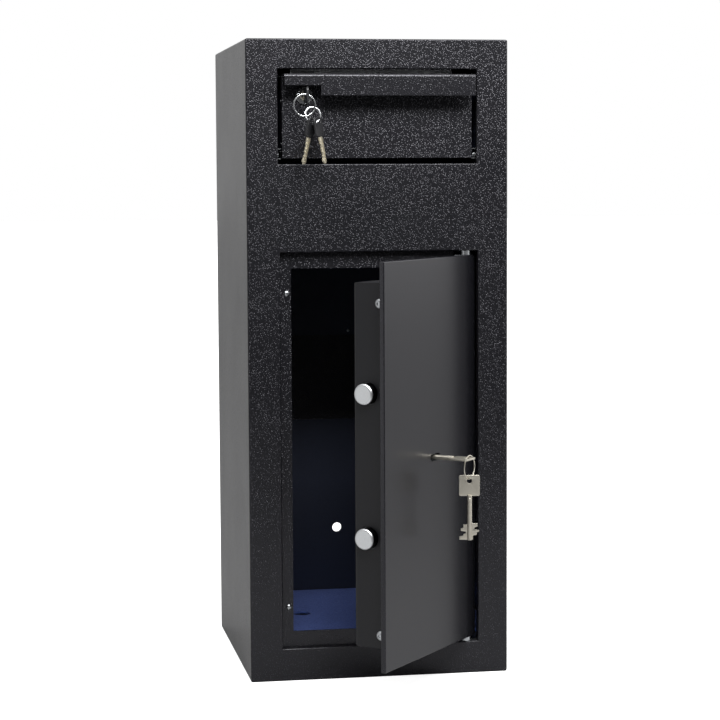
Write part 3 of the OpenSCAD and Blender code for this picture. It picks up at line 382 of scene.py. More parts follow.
def moulded_plastic():
    """Black ABS from a spark-eroded mould: fine matt grain, soft highlights."""
    finish = bpy.context.scene.drop_safe.finishes
    material, tree, shader, place = new_material("Moulded black plastic")
    # The mould's grain, drawn coarser than it is so that it shows
    grain = add(tree, "ShaderNodeTexNoise", None,
                {"Scale": per_metre(MOULD_GRAIN), "Detail": 2.0}, {"Vector": place})
    shade = add(tree, "ShaderNodeMix", {"data_type": "RGBA"},
                {"A": (*finish.plastic, 1), "B": (*[c * 1.8 for c in finish.plastic], 1)},
                {"Factor": grain.outputs["Fac"]})
    gloss = add(tree, "ShaderNodeMapRange", None,
                {"To Min": 0.36, "To Max": 0.5}, {"Value": grain.outputs["Fac"]})
    bump = add(tree, "ShaderNodeBump", None,
               {"Strength": 0.4, "Distance": 0.02 * MM}, {"Height": grain.outputs["Fac"]})
    link_patterns(tree, shader, shade, gloss, bump)
    return material


def needled_felt():
    """Needled polyester felt: matted fibres of two blues with a soft sheen and no gloss."""
    finish = bpy.context.scene.drop_safe.finishes
    material, tree, shader, place = new_material("Needled blue felt")
    shader.inputs["Sheen Weight"].default_value = 0.1
    shader.inputs["Specular IOR Level"].default_value = 0.15
    shader.inputs["Sheen Roughness"].default_value = 0.6
    bent = add(tree, "ShaderNodeTexNoise", None,
               {"Scale": per_metre(FELT_BEND), "Detail": 2.0}, {"Vector": place})
    mixed = add(tree, "ShaderNodeMix", {"data_type": "VECTOR"}, {"Factor": 0.02},
                {"A": place, "B": bent.outputs["Color"]})
    # Single fibres are too thin to show, so these are their matted clumps
    fibre = add(tree, "ShaderNodeTexNoise", None,
                {"Scale": per_metre(FELT_CLUMP), "Detail": 6.0, "Roughness": 0.75},
                {"Vector": mixed.outputs["Result"]})
    tone = add(tree, "ShaderNodeMapRange", None,
               {"From Min": 0.35, "From Max": 0.7}, {"Value": fibre.outputs["Fac"]})
    shade = add(tree, "ShaderNodeMix", {"data_type": "RGBA"},
                {"A": (*finish.felt, 1), "B": (*finish.felt_light, 1)}, {"Factor": tone.outputs["Result"]})
    nap = add(tree, "ShaderNodeMapRange", None,
              {"To Min": 0.8, "To Max": 1.0}, {"Value": fibre.outputs["Fac"]})
    bump = add(tree, "ShaderNodeBump", None,
               {"Strength": 0.9, "Distance": 0.4 * MM}, {"Height": fibre.outputs["Fac"]})
    link_patterns(tree, shader, shade, nap, bump)
    return material


def studio_paper():
    """Matt paper that glows: pale, with weak shadows and a barely visible tooth."""
    finish = bpy.context.scene.drop_safe.finishes
    material, tree, shader, place = new_material("Pale studio paper")
    tooth = add(tree, "ShaderNodeTexNoise", None,
                {"Scale": per_metre(PAPER_TOOTH), "Detail": 2.0}, {"Vector": place})
    nap = add(tree, "ShaderNodeMapRange", None,
              {"To Min": 0.85, "To Max": 0.95}, {"Value": tooth.outputs["Fac"]})
    # The paper glows to the camera alone, and what the coats mirror of it is dimmer
    eye = add(tree, "ShaderNodeLightPath").outputs["Is Camera Ray"]
    mirrored = (FLOOR_MIRRORED, FLOOR_MIRRORED, FLOOR_MIRRORED, 1)
    pale = add(tree, "ShaderNodeMix", {"data_type": "RGBA"},
               {"A": mirrored, "B": (*finish.floor, 1)}, {"Factor": eye})
    glow = add(tree, "ShaderNodeMath", {"operation": "MULTIPLY"}, {1: FLOOR_GLOW}, {0: eye})
    shader.inputs["Emission Color"].default_value = (1, 1, 1, 1)
    tree.links.new(pale.outputs["Result"], shader.inputs["Base Color"])
    tree.links.new(glow.outputs[0], shader.inputs["Emission Strength"])
    tree.links.new(nap.outputs["Result"], shader.inputs["Roughness"])
    return material


FINISHES = {
    "coat": powder_coat, "fine_coat": fine_coat, "inside": inside_coat, "tray": tray_coat, "zinc": zinc_plate,
    "bare": bare_steel, "turned": turned_steel, "bolt_side_shade": bolt_side_shade_steel, "chrome": chrome_plate,
    "nickel": nickel_plate, "blade": nickel_silver,
    "plastic": moulded_plastic, "felt": needled_felt, "paper": studio_paper,
}
made_finishes = {}


def finish_named(key):
    """The material of this finish, made when it is first asked for."""
    if key not in made_finishes:
        made_finishes[key] = FINISHES[key]()
    return made_finishes[key]


def linked(name, data):
    """New object of this data, in the scene."""
    made = bpy.data.objects.new(name, data)
    bpy.context.scene.collection.objects.link(made)
    return made


def flattened(holder):
    """Plain mesh of an object after its modifiers; the object itself is removed."""
    bpy.context.view_layer.update()
    data = bpy.data.meshes.new_from_object(holder.evaluated_get(bpy.context.evaluated_depsgraph_get()))
    bpy.data.objects.remove(holder)
    return data


def add_piece(name, mesh, body, slot, finish, *nodes):
    """Shows a mesh as a piece on a body, in place of the CAD nodes that it stands for."""
    piece = linked(name, mesh)
    if finish:
        mesh.materials.clear()
        mesh.materials.append(finish_named(finish))
    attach(piece, body)
    if nodes:
        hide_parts(*nodes)
    return piece


def set_finish(nodes, finish):
    """Gives CAD nodes their material."""
    for name in nodes:
        piece = frame["nodes"][name]
        if not piece.material_slots:
            piece.data.materials.append(None)
        for slot in piece.material_slots:
            slot.material = finish_named(finish)


def merged_copy(node):
    """Closed copy of a CAD node's loose triangles, with its flat faces whole again."""
    mesh = bmesh.new()
    mesh.from_mesh(frame["nodes"][node].data)
    bmesh.ops.remove_doubles(mesh, verts=mesh.verts, dist=MERGE_DISTANCE)
    bmesh.ops.dissolve_limit(mesh, angle_limit=FLAT_ANGLE, verts=mesh.verts, edges=mesh.edges)
    return mesh


def as_mesh(name, mesh, finishes=()):
    """Turns edit data into a smooth-shaded mesh with these finishes in its slots."""
    data = bpy.data.meshes.new(name)
    mesh.to_mesh(data)
    mesh.free()
    for finish in finishes:
        data.materials.append(finish_named(finish))
    for face in data.polygons:
        face.use_smooth = True
    return data


def modified(name, mesh, modifiers):
    """The mesh after the modifiers, as plain data."""
    holder = linked(name, mesh)
    for kind, settings in modifiers:
        modifier = holder.modifiers.new(kind.title(), kind)
        for key, value in settings.items():
            setattr(modifier, key, value)
    result = flattened(holder)
    result.name = name
    return result


def eased(name, mesh, width, segments=3):
    """The mesh with its sharp edges rounded."""
    bevel = {
        "width": width, "segments": segments, "limit_method": "ANGLE", "angle_limit": BEVEL_ANGLE,
        "use_clamp_overlap": False,
    }
    weighted = {"mode": "FACE_AREA", "weight": 100, "keep_sharp": True}
    return modified(name, mesh, [("BEVEL", bevel), ("WEIGHTED_NORMAL", weighted)])


def joined(name, first, second):
    """The union of two meshes."""
    holder = linked(name + "_second", second)
    union = {"operation": "UNION", "solver": "EXACT", "object": holder}
    result = modified(name, first, [("BOOLEAN", union)])
    bpy.data.objects.remove(holder)
    return result


def plate(name, outlines, thickness, ease, segments=2):
    """Flat plate cut to outlines in millimetres, with eased edges; later outlines are its holes."""
    curve = bpy.data.curves.new(name, "CURVE")
    curve.dimensions = "2D"
    curve.fill_mode = "BOTH"
    curve.extrude = thickness / 2 - ease
    curve.bevel_depth = ease
    curve.bevel_resolution = segments
    curve.offset = -ease
    for outline in outlines:
        spline = curve.splines.new("POLY")
        spline.points.add(len(outline) - 1)
        for point, (x, y) in zip(spline.points, outline):
            point.co = (x, y, 0, 1)
        spline.use_cyclic_u = True
    data = flattened(linked(name, curve))
    made = bmesh.new()
    made.from_mesh(data)
    bmesh.ops.remove_doubles(made, verts=made.verts, dist=PLATE_MERGE_MM)
    bmesh.ops.recalc_face_normals(made, faces=made.faces)
    bmesh.ops.scale(made, vec=(MM, MM, MM), verts=made.verts)
    return made


def round_outline(width, height, radius, centre=(0, 0), steps=6):
    """Rectangle with round corners, in the units it is given in."""
    points = []
    corners = [(1, 1, 0), (-1, 1, 90), (-1, -1, 180), (1, -1, 270)]
    for sx, sy, start in corners:
        for i in range(steps + 1):
            turn = math.radians(start + 90 * i / steps)
            points.append((
                centre[0] + sx * (width / 2 - radius) + radius * math.cos(turn),
                centre[1] + sy * (height / 2 - radius) + radius * math.sin(turn),
            ))
    return points


def circle_outline(radius, centre, steps=32):
    """Circle as a list of points."""
    turns = [math.tau * i / steps for i in range(steps)]
    return [(centre[0] + radius * math.cos(turn), centre[1] + radius * math.sin(turn)) for turn in turns]


def skin(mesh, loops):
    """Tube through loops of points, capped at both ends, with its faces pointing outwards."""
    count = len(loops[0])
    for near, far in zip(loops, loops[1:]):
        for i in range(count):
            mesh.faces.new((near[i], near[(i + 1) % count], far[(i + 1) % count], far[i]))
    mesh.faces.new(loops[0])
    mesh.faces.new(loops[-1])
    bmesh.ops.recalc_face_normals(mesh, faces=mesh.faces)


def middle_of(low, high):
    """Middle of a box given by its corners."""
    return [(a + b) / 2 for a, b in zip(low, high)]


def axes_of(node, along_hint):
    """Frame of a flat CAD node: X across it, Y along it, Z through its thickness, origin at its near end."""
    data = frame["nodes"][node].data
    areas = defaultdict(float)
    for face in data.polygons:
        normal = face.normal
        lead = next((c for c in normal if abs(c) > 0.01), 1)
        key = tuple(round(c * math.copysign(1, lead), 2) for c in normal)
        areas[key] += face.area
    directions = {Vector(key).normalized().freeze(): area for key, area in areas.items()}
    through = max(directions, key=directions.get)
    hint = Vector(along_hint).normalized()
    level = {d: a for d, a in directions.items() if abs(d.dot(through)) < 0.05 and abs(d.dot(hint)) > 0.8}
    along = max(level, key=level.get)
    along = along * math.copysign(1, along.dot(hint))
    across = along.cross(through)
    spans = [[v.co.dot(axis) for v in data.vertices] for axis in (across, along, through)]
    origin = across * (min(spans[0]) + max(spans[0])) / 2
    origin += along * min(spans[1]) + through * (min(spans[2]) + max(spans[2])) / 2
    return Matrix.Translation(origin) @ Matrix((across, along, through)).transposed().to_4x4()


def islands(node, local=Matrix.Identity(4)):
    """Boxes of a CAD node's separate solids, in a local frame."""
    mesh = merged_copy(node)
    left = set(mesh.verts)
    boxes = []
    while left:
        found = {left.pop()}
        edge = set(found)
        while edge:
            near = {e.other_vert(v) for v in edge for e in v.link_edges} & left
            left -= near
            found |= near
            edge = near
        points = [local @ v.co for v in found]
        low = Vector([min(p[i] for p in points) for i in range(3)])
        boxes.append((low, Vector([max(p[i] for p in points) for i in range(3)])))
    mesh.free()
    return sorted(boxes, key=lambda box: tuple(round(c, 4) for c in box[0]))


SCREW_INPUTS = {
    "Head Radius": "NodeSocketFloat", "Head Height": "NodeSocketFloat", "Dome Sink": "NodeSocketFloat",
    "Recess Radius": "NodeSocketFloat", "Recess Depth": "NodeSocketFloat", "Cross Width": "NodeSocketFloat",
    "Shank Radius": "NodeSocketFloat", "Shank Length": "NodeSocketFloat", "Sides": "NodeSocketInt",
    "Recessed": "NodeSocketBool", "Cross": "NodeSocketBool", "Finish": "NodeSocketMaterial",
}


def vector_of(tree, x=None, y=None, z=None):
    """Vector from up to three sockets."""
    links = {key: source for key, source in (("X", x), ("Y", y), ("Z", z)) if source is not None}
    return add(tree, "ShaderNodeCombineXYZ", links=links).outputs["Vector"]


def sum_of(tree, a, b, operation="ADD"):
    """Sum, or another operation, of two sockets or numbers."""
    made = add(tree, "ShaderNodeMath", {"operation": operation})
    for i, value in enumerate((a, b)):
        if isinstance(value, (int, float)):
            made.inputs[i].default_value = value
        else:
            tree.links.new(value, made.inputs[i])
    return made.outputs[0]


def screw_tree():
    """Geometry nodes that set a domed screw or rivet on every point, along the point's aim."""
    tree = bpy.data.node_groups.new("Domed screws", "GeometryNodeTree")
    tree.interface.new_socket("Seats", in_out="INPUT", socket_type="NodeSocketGeometry")
    for name, kind in SCREW_INPUTS.items():
        tree.interface.new_socket(name, in_out="INPUT", socket_type=kind)
    tree.interface.new_socket("Screws", in_out="OUTPUT", socket_type="NodeSocketGeometry")
    given = add(tree, "NodeGroupInput").outputs
    rise = sum_of(tree, given["Head Height"], given["Dome Sink"])
    # The dome is the top of an ellipsoid whose middle lies under the seat
    ratio = sum_of(tree, given["Dome Sink"], rise, "DIVIDE")
    shrink = sum_of(tree, sum_of(tree, 1.0, sum_of(tree, ratio, ratio, "MULTIPLY"), "SUBTRACT"), 0.5, "POWER")
    wide = sum_of(tree, given["Head Radius"], shrink, "DIVIDE")
    ball = add(tree, "GeometryNodeMeshUVSphere", None,
               {"Rings": 18, "Radius": 1.0}, {"Segments": given["Sides"]})
    under = sum_of(tree, 0.0, given["Dome Sink"], "SUBTRACT")
    dome = add(tree, "GeometryNodeTransform", None, None, {
        "Geometry": ball.outputs["Mesh"], "Scale": vector_of(tree, wide, wide, rise),
        "Translation": vector_of(tree, z=under)})
    block = add(tree, "GeometryNodeMeshCube", None, None, {
        "Size": vector_of(tree, *[sum_of(tree, given["Head Radius"], 4.0, "MULTIPLY")] * 3)})
    lowered = add(tree, "GeometryNodeTransform", None, None, {
        "Geometry": block.outputs["Mesh"],
        "Translation": vector_of(tree, z=sum_of(tree, given["Head Radius"], -2.0, "MULTIPLY"))})
    head = add(tree, "GeometryNodeMeshBoolean", {"operation": "DIFFERENCE", "solver": "EXACT"}, None,
               {"Mesh 1": dome.outputs["Geometry"], "Mesh 2": lowered.outputs["Geometry"]})
    deep = sum_of(tree, given["Recess Depth"], 2.0, "MULTIPLY")
    hexagon = add(tree, "GeometryNodeMeshCylinder", None, {"Vertices": 6},
                  {"Radius": given["Recess Radius"], "Depth": deep})
    reach = sum_of(tree, given["Recess Radius"], 2.0, "MULTIPLY")
    arm = add(tree, "GeometryNodeMeshCube", None, None,
              {"Size": vector_of(tree, reach, given["Cross Width"], deep)})
    other = add(tree, "GeometryNodeMeshCube", None, None,
                {"Size": vector_of(tree, given["Cross Width"], reach, deep)})
    cross = add(tree, "GeometryNodeMeshBoolean", {"operation": "UNION", "solver": "EXACT"}, None,
                {"Mesh 2": arm.outputs["Mesh"]})
    tree.links.new(other.outputs["Mesh"], cross.inputs["Mesh 2"])
    tool = add(tree, "GeometryNodeSwitch", {"input_type": "GEOMETRY"}, None, {
        "Switch": given["Cross"], "False": hexagon.outputs["Mesh"], "True": cross.outputs["Mesh"]})
    raised = add(tree, "GeometryNodeTransform", None, None, {
        "Geometry": tool.outputs["Output"], "Translation": vector_of(tree, z=given["Head Height"])})
    socketed = add(tree, "GeometryNodeMeshBoolean", {"operation": "DIFFERENCE", "solver": "EXACT"}, None,
                   {"Mesh 1": head.outputs["Mesh"], "Mesh 2": raised.outputs["Geometry"]})
    top = add(tree, "GeometryNodeSwitch", {"input_type": "GEOMETRY"}, None, {
        "Switch": given["Recessed"], "False": head.outputs["Mesh"], "True": socketed.outputs["Mesh"]})
    rod = add(tree, "GeometryNodeMeshCylinder", None, {"Vertices": 24},
              {"Radius": given["Shank Radius"], "Depth": given["Shank Length"]})
    shank = add(tree, "GeometryNodeTransform", None, None, {
        "Geometry": rod.outputs["Mesh"],
        "Translation": vector_of(tree, z=sum_of(tree, given["Shank Length"], -0.5, "MULTIPLY"))})
    whole = add(tree, "GeometryNodeJoinGeometry", None, None, {"Geometry": shank.outputs["Geometry"]})
    tree.links.new(top.outputs["Output"], whole.inputs["Geometry"])
    aim = add(tree, "GeometryNodeInputNamedAttribute", {"data_type": "FLOAT_VECTOR"}, {"Name": "aim"})
    facing = add(tree, "FunctionNodeAlignRotationToVector", {"axis": "Z"}, None,
                 {"Vector": aim.outputs["Attribute"]})
    placed = add(tree, "GeometryNodeInstanceOnPoints", None, None, {
        "Points": given["Seats"], "Instance": whole.outputs["Geometry"],
        "Rotation": facing.outputs["Rotation"]})
    real = add(tree, "GeometryNodeRealizeInstances", None, None, {"Geometry": placed.outputs["Instances"]})
    coated = add(tree, "GeometryNodeSetMaterial", None, None,
                 {"Geometry": real.outputs["Geometry"], "Material": given["Finish"]})
    add(tree, "NodeGroupOutput", None, None, {"Screws": coated.outputs["Geometry"]})
    return tree


def set_screws(name, seats, body, slot, finish, sizes, *nodes):
    """Sets screws or rivets at seats, given as (place, aim), and shows them as one piece."""
    points = bpy.data.meshes.new(name + "_seats")
    points.from_pydata([place for place, _ in seats], [], [])
    aims = points.attributes.new("aim", "FLOAT_VECTOR", "POINT")
    for item, (_, aim) in zip(aims.data, seats):
        item.vector = aim
    tree = bpy.data.node_groups.get("Domed screws") or screw_tree()
    holder = linked(name, points)
    modifier = holder.modifiers.new("Screws", "NODES")
    modifier.node_group = tree
    keys = {item.name: item.identifier for item in tree.interface.items_tree if item.in_out == "INPUT"}
    hardware = bpy.context.scene.drop_safe.hardware
    for key, value in {**sizes, "Sides": hardware.sides, "Finish": finish_named(finish)}.items():
        modifier[keys[key]] = value
    data = flattened(holder)
    data.name = name
    if not data.polygons:
        raise RuntimeError(f"{name}: the screw tree made no faces")
    return add_piece(name, data, body, slot, finish, *nodes)


def door_axis(x, y, z):
    """Direction given on the shut door, turned with it."""
    return (SWUNG.to_3x3() @ Vector((x, y, z))).normalized()


class DROPSAFE_OT_finish_nodes(bpy.types.Operator):
    """Give the carried-over CAD nodes their finishes"""

    bl_idname = "drop_safe.finish_nodes"
    bl_label = "Finish CAD nodes"

    def execute(self, context):
        groups = [
            (COATED_NODES, "coat"), (INSIDE_NODES, "inside"), (ZINC_NODES, "zinc"), (BARE_NODES, "bare"),
            (CHROME_NODES, "chrome"), (NICKEL_NODES, "nickel"), (PLASTIC_NODES, "plastic"),
        ]
        for nodes, finish in groups:
            set_finish(nodes, finish)
        return {"FINISHED"}


class DROPSAFE_OT_body_shell(bpy.types.Operator):
    """Weld the wrap and the front sheet into one shell with softly rounded edges"""

    bl_idname = "drop_safe.body_shell"
    bl_label = "Body shell"

    def execute(self, context):
        coats = ("fine_coat", "coat")
        wrap = as_mesh("wrap", merged_copy("body_wrap"), coats)
        front = as_mesh("front", merged_copy("front_frame"), coats)
        for face in front.polygons:
            face.material_index = 1
        shell = joined("shell", wrap, front)
        whole = bmesh.new()
        whole.from_mesh(shell)
        bmesh.ops.remove_doubles(whole, verts=whole.verts, dist=SHELL_MERGE_DISTANCE)
        bmesh.ops.dissolve_limit(whole, angle_limit=FLAT_ANGLE, verts=whole.verts, edges=whole.edges)
        ease = context.scene.drop_safe.sheets.shell_ease
        data = eased("body_shell", as_mesh("body_shell", whole, coats), ease, 2)
        add_piece("body_shell", data, "safe_body", "powder_coat", None, "body_wrap", "front_frame")
        return {"FINISHED"}


class DROPSAFE_OT_door_sheets(bpy.types.Operator):
    """Round the edges of the door plate and of the pan behind it"""

    bl_idname = "drop_safe.door_sheets"
    bl_label = "Door plate and pan"

    def execute(self, context):
        sheets = context.scene.drop_safe.sheets
        face = eased("door_face", as_mesh("door_face", merged_copy("door_plate")), sheets.door_ease)
        add_piece("door_face", face, "door", "powder_coat", "fine_coat", "door_plate")
        pan = eased("door_tray", as_mesh("door_tray", merged_copy("door_pan")), sheets.pan_ease)
        add_piece("door_tray", pan, "door", "inner_paint", "tray", "door_pan")
        return {"FINISHED"}


class DROPSAFE_OT_bolts(bpy.types.Operator):
    """Turn the two locking bolts, with bright eased ends and sides painted near black as painted shade"""

    bl_idname = "drop_safe.bolts"
    bl_label = "Locking bolts"

    def execute(self, context):
        finishes = ("turned", "bolt_side_shade")
        ease = context.scene.drop_safe.hardware.bolt_ease
        data = eased("locking_bolt_bars", as_mesh("bolts", merged_copy("locking_bolts"), finishes), ease)
        # The ends take the turned finish; the sides take near black, painted shade
        along = door_axis(1, 0, 0)
        for face in data.polygons:
            face.material_index = 0 if abs(face.normal.dot(along)) > 0.3 else 1
        add_piece("locking_bolt_bars", data, "boltwork", "chrome_plate", None, "locking_bolts")
        return {"FINISHED"}


class DROPSAFE_OT_drawer_face(bpy.types.Operator):
    """Round the cut edges of the drawer front and its lip"""

    bl_idname = "drop_safe.drawer_face"
    bl_label = "Drawer front"

    def execute(self, context):
        ease = context.scene.drop_safe.sheets.lip_ease
        face = eased("drawer_face", as_mesh("drawer_face", merged_copy("drawer_front")), ease, 2)
        add_piece("drawer_face", face, "drawer", "powder_coat", "coat", "drawer_front")
        return {"FINISHED"}


class DROPSAFE_OT_screws(bpy.types.Operator):
    """Set the domed screws of the pan and the cross-recess screws of the side stop"""

    bl_idname = "drop_safe.screws"
    bl_label = "Screws"

    def execute(self, context):
        hardware = context.scene.drop_safe.hardware
        boxes = islands("pan_screws", SHUT)
        middle = sum((low.x + high.x for low, high in boxes)) / (2 * len(boxes))
        seats, shank = [], 0
        for low, high in boxes:
            side = math.copysign(1, (low.x + high.x) / 2 - middle)
            outer = high.x if side > 0 else low.x
            _, y, z = middle_of(low, high)
            place = Vector((outer - side * hardware.pan_head, y, z))
            seats.append((SWUNG @ place, door_axis(side, 0, 0)))
            shank = high.x - low.x - hardware.pan_head
        radius = (boxes[0][1].z - boxes[0][0].z) / 2
        sizes = {
            "Head Radius": radius, "Head Height": hardware.pan_head, "Dome Sink": hardware.pan_head * 0.5,
            "Recess Radius": radius * 0.42, "Recess Depth": hardware.pan_head * 0.55,
            "Cross Width": radius * 0.2, "Shank Radius": radius * 0.4, "Shank Length": shank,
            "Recessed": True, "Cross": False,
        }
        set_screws("pan_button_screws", seats, "door", "zinc_plate", "zinc", sizes, "pan_screws")
        boxes = islands("jamb_screws")
        radius = (boxes[0][1].z - boxes[0][0].z) / 2
        seats = []
        for low, high in boxes:
            x, _, z = middle_of(low, high)
            seats.append((Vector((x, low.y + hardware.jamb_head, z)), TO_THE_FRONT))
        sizes.update({
            "Head Radius": radius, "Head Height": hardware.jamb_head, "Dome Sink": hardware.jamb_head * 0.6,
            "Recess Radius": radius * 0.62, "Recess Depth": hardware.jamb_head * 0.6,
            "Cross Width": radius * 0.24, "Shank Radius": radius * 0.5, "Cross": True,
            "Shank Length": boxes[0][1].y - boxes[0][0].y - hardware.jamb_head,
        })
        set_screws("jamb_cross_screws", seats, "safe_body", "zinc_plate", "zinc", sizes, "jamb_screws")
        return {"FINISHED"}


class DROPSAFE_OT_rivets(bpy.types.Operator):
    """Set the domed rivets of the rear baffle and of the drawer tray"""

    bl_idname = "drop_safe.rivets"
    bl_label = "Rivets"

    def execute(self, context):
        head = context.scene.drop_safe.hardware.rivet_head
        low, high = islands("baffle_rivet")[0]
        radius = (high.z - low.z) / 2
        sizes = {
            "Head Radius": radius, "Head Height": high.y - low.y, "Dome Sink": head * 0.5,
            "Recess Radius": radius * 0.5, "Recess Depth": head * 0.5, "Cross Width": radius * 0.2,
            "Shank Radius": radius * 0.5, "Shank Length": head, "Recessed": False, "Cross": False,
        }
        x, _, z = middle_of(low, high)
        seats = [(Vector((x, high.y, z)), TO_THE_FRONT)]
        set_screws("baffle_dome_rivet", seats, "safe_body", "zinc_plate", "zinc", sizes, "baffle_rivet")
        seats = []
        for low, high in islands("tray_rivets"):
            side = math.copysign(1, low.x + high.x)
            inner = min(abs(low.x), abs(high.x)) + head
            _, y, z = middle_of(low, high)
            seats.append((Vector((side * inner, y, z)), Vector((-side, 0, 0))))
            radius = (high.z - low.z) / 2
            sizes.update({
                "Head Radius": radius, "Head Height": head, "Shank Radius": radius * 0.6,
                "Shank Length": high.x - low.x - head,
            })
        set_screws("tray_dome_rivets", seats, "drawer", "zinc_plate", "zinc", sizes, "tray_rivets")
        return {"FINISHED"}


# A door key's width over its bits, its bow's thickness, its corners and eased edges, in millimetres
DOOR_BIT_WIDTH = 26
DOOR_BOW_THICKNESS = 2.4
BOW_CORNER = 2.2
BOW_EASE = 0.35
BIT_EASE = 0.2
BIT_SLANT = 0.9
STEM_SIDES = 32

# Steps of the two bits, as start along the bit and reach from the stem's middle, both as shares
NEAR_BIT = [(0, 0.8), (0.2, 0.5), (0.37, 0.96), (0.5, 0.74), (0.7, 0.34)]
FAR_BIT = [(0.07, 0.6), (0.28, 0.86), (0.46, 0.36), (0.62, 0.6), (0.76, 1)]


def bit_edge(steps, start, length, half, side, slant):
    """Outer edge of one bit from its start to the key's nose, with slanting steps."""
    points = [(side * slant, start + steps[0][0] * length)]
    for i, (at, reach) in enumerate(steps):
        y = start + at * length
        after = steps[i + 1][0] * length + start if i + 1 < len(steps) else start + length
        points += [(side * reach * half, y + (slant if i else 0)), (side * reach * half, after - slant * 0.2)]
    points.append((side * slant, start + length))
    return points


def door_key_mesh(name, length, width, thickness):
    """Double-bit door key in millimetres from its bow's end, along Y."""
    keys = bpy.context.scene.drop_safe.keys
    bow, stem, bit = keys.bow / MM, keys.stem / MM, keys.bit_length / MM
    start = length - bit - keys.bit_end / MM
    rim = round_outline(bow, bow, BOW_CORNER, (0, bow / 2))
    hole = circle_outline(keys.bow_hole / MM / 2, (0, keys.bow_hole_in / MM))
    parts = [plate(name + "_bow", [rim, hole], thickness, BOW_EASE)]
    edge = bit_edge(NEAR_BIT, start, bit, width / 2, 1, BIT_SLANT)
    edge += reversed(bit_edge(FAR_BIT, start, bit, width / 2, -1, BIT_SLANT))
    parts.append(plate(name + "_bits", [edge], thickness, BIT_EASE))
    turned = bmesh.new()
    # The turned stem with its collar groove, as distance along the key and radius
    rings = [
        (bow - 1, stem / 2 - 0.2), (bow + 0.4, stem / 2), (bow + 2.2, stem / 2), (bow + 2.6, stem / 2 - 0.5),
        (bow + 3.4, stem / 2 - 0.5), (bow + 3.8, stem / 2 - 0.15), (length - 0.6, stem / 2 - 0.15),
        (length, stem / 2 - 0.8),
    ]
    turns = [math.tau * i / STEM_SIDES for i in range(STEM_SIDES)]
    loops = []
    for y, radius in rings:
        loops.append([
            turned.verts.new((radius * math.cos(turn) * MM, y * MM, radius * math.sin(turn) * MM))
            for turn in turns
        ])
    skin(turned, loops)
    parts.append(turned)
    whole = bmesh.new()
    for part in parts:
        piece = bpy.data.meshes.new(name)
        part.to_mesh(piece)
        part.free()
        whole.from_mesh(piece)
        bpy.data.meshes.remove(piece)
    return whole


def mark_sharp(mesh, angle=32):
    """Keeps hard edges hard under smooth shading."""
    for edge in mesh.edges:
        if len(edge.link_faces) == 2 and edge.calc_face_angle() > math.radians(angle):
            edge.smooth = False


def placed(name, mesh, place):
    """Mesh data of a piece made in its own frame and set in place."""
    bmesh.ops.transform(mesh, matrix=place, verts=mesh.verts)
    mark_sharp(mesh)
    return as_mesh(name, mesh)


def spans_of(node, place):
    """Size of a CAD node in millimetres along the axes of a frame."""
    local = [place.inverted() @ v.co for v in frame["nodes"][node].data.vertices]
    return [(max(p[i] for p in local) - min(p[i] for p in local)) / MM for i in range(3)]


class DROPSAFE_OT_door_keys(bpy.types.Operator):
    """Make the two double-bit door keys"""

    bl_idname = "drop_safe.door_keys"
    bl_label = "Door keys"

    def execute(self, context):
        keys = [
            ("door_key", "door_key", door_axis(0, 1, 0), door_axis(1, 0, 0)),
            ("spare_door_key", "spare_key", (0, 0, -1), (1, 0, 0)),
        ]
        for node, body, along, across in keys:
            place = axes_of(node, along)
            if place.col[0].to_3d().dot(Vector(across)) < 0:
                place = place @ Matrix.Rotation(math.pi, 4, "Y")
            _, length, _ = spans_of(node, place)
            mesh = door_key_mesh(node, length, DOOR_BIT_WIDTH, DOOR_BOW_THICKNESS)
            add_piece(node + "_cast", placed(node, mesh, place), body, "nickel_plate", "nickel", node)
        return {"FINISHED"}


# Cuts in a drawer key's blade, as places along it and depths, both as shares
BLADE_CUTS = [(0.2, 0.35), (0.34, 0.9), (0.48, 0.5), (0.62, 1.0), (0.76, 0.6)]


def blade_outline(width, length, depth):
    """Blade from its root to its pointed tip, with cuts along one edge."""
    half = width / 2
    flat = length * 0.028
    points = [(-half, 0), (half, 0)]
    for at, share in BLADE_CUTS:
        y = at * length
        low = half - share * depth
        deep = half - low
        points += [(half, y - flat - deep), (low, y - flat), (low, y + flat), (half, y + flat + deep)]
    tip = width * 0.42
    ordered = [points[0], points[1]]
    for point in points[2:]:
        if point[1] > ordered[-1][1]:
            ordered.append(point)
    back = tip * 0.6
    ordered += [(half, length - tip), (half - tip, length), (-half + back, length), (-half, length - back)]
    return ordered


def milled(name, mesh, width, length, thickness):
    """The blade with a groove milled along both faces."""
    base = as_mesh(name, mesh)
    grooves = bmesh.new()
    for side in (-1, 1):
        size = Matrix.Diagonal((width * 0.2 * MM, length * 0.84 * MM, thickness * 0.36 * MM, 1))
        spot = Matrix.Translation((-width * 0.1 * MM, length * 0.5 * MM, side * thickness / 2 * MM))
        bmesh.ops.create_cube(grooves, size=1, matrix=spot @ size)
    cutter = linked(name + "_groove", as_mesh(name + "_groove", grooves))
    milling = {"operation": "DIFFERENCE", "solver": "EXACT", "object": cutter}
    cut = modified(name, base, [("BOOLEAN", milling)])
    bpy.data.objects.remove(cutter)
    result = bmesh.new()
    result.from_mesh(cut)
    return result


# A moulded head's slot: distance of its middle from the head's far end, and its corners, in millimetres
HEAD_SLOT_IN = 5.5
HEAD_SLOT_CORNER = 1.6
HEAD_EASE = 0.7
BLADE_EASE = 0.15


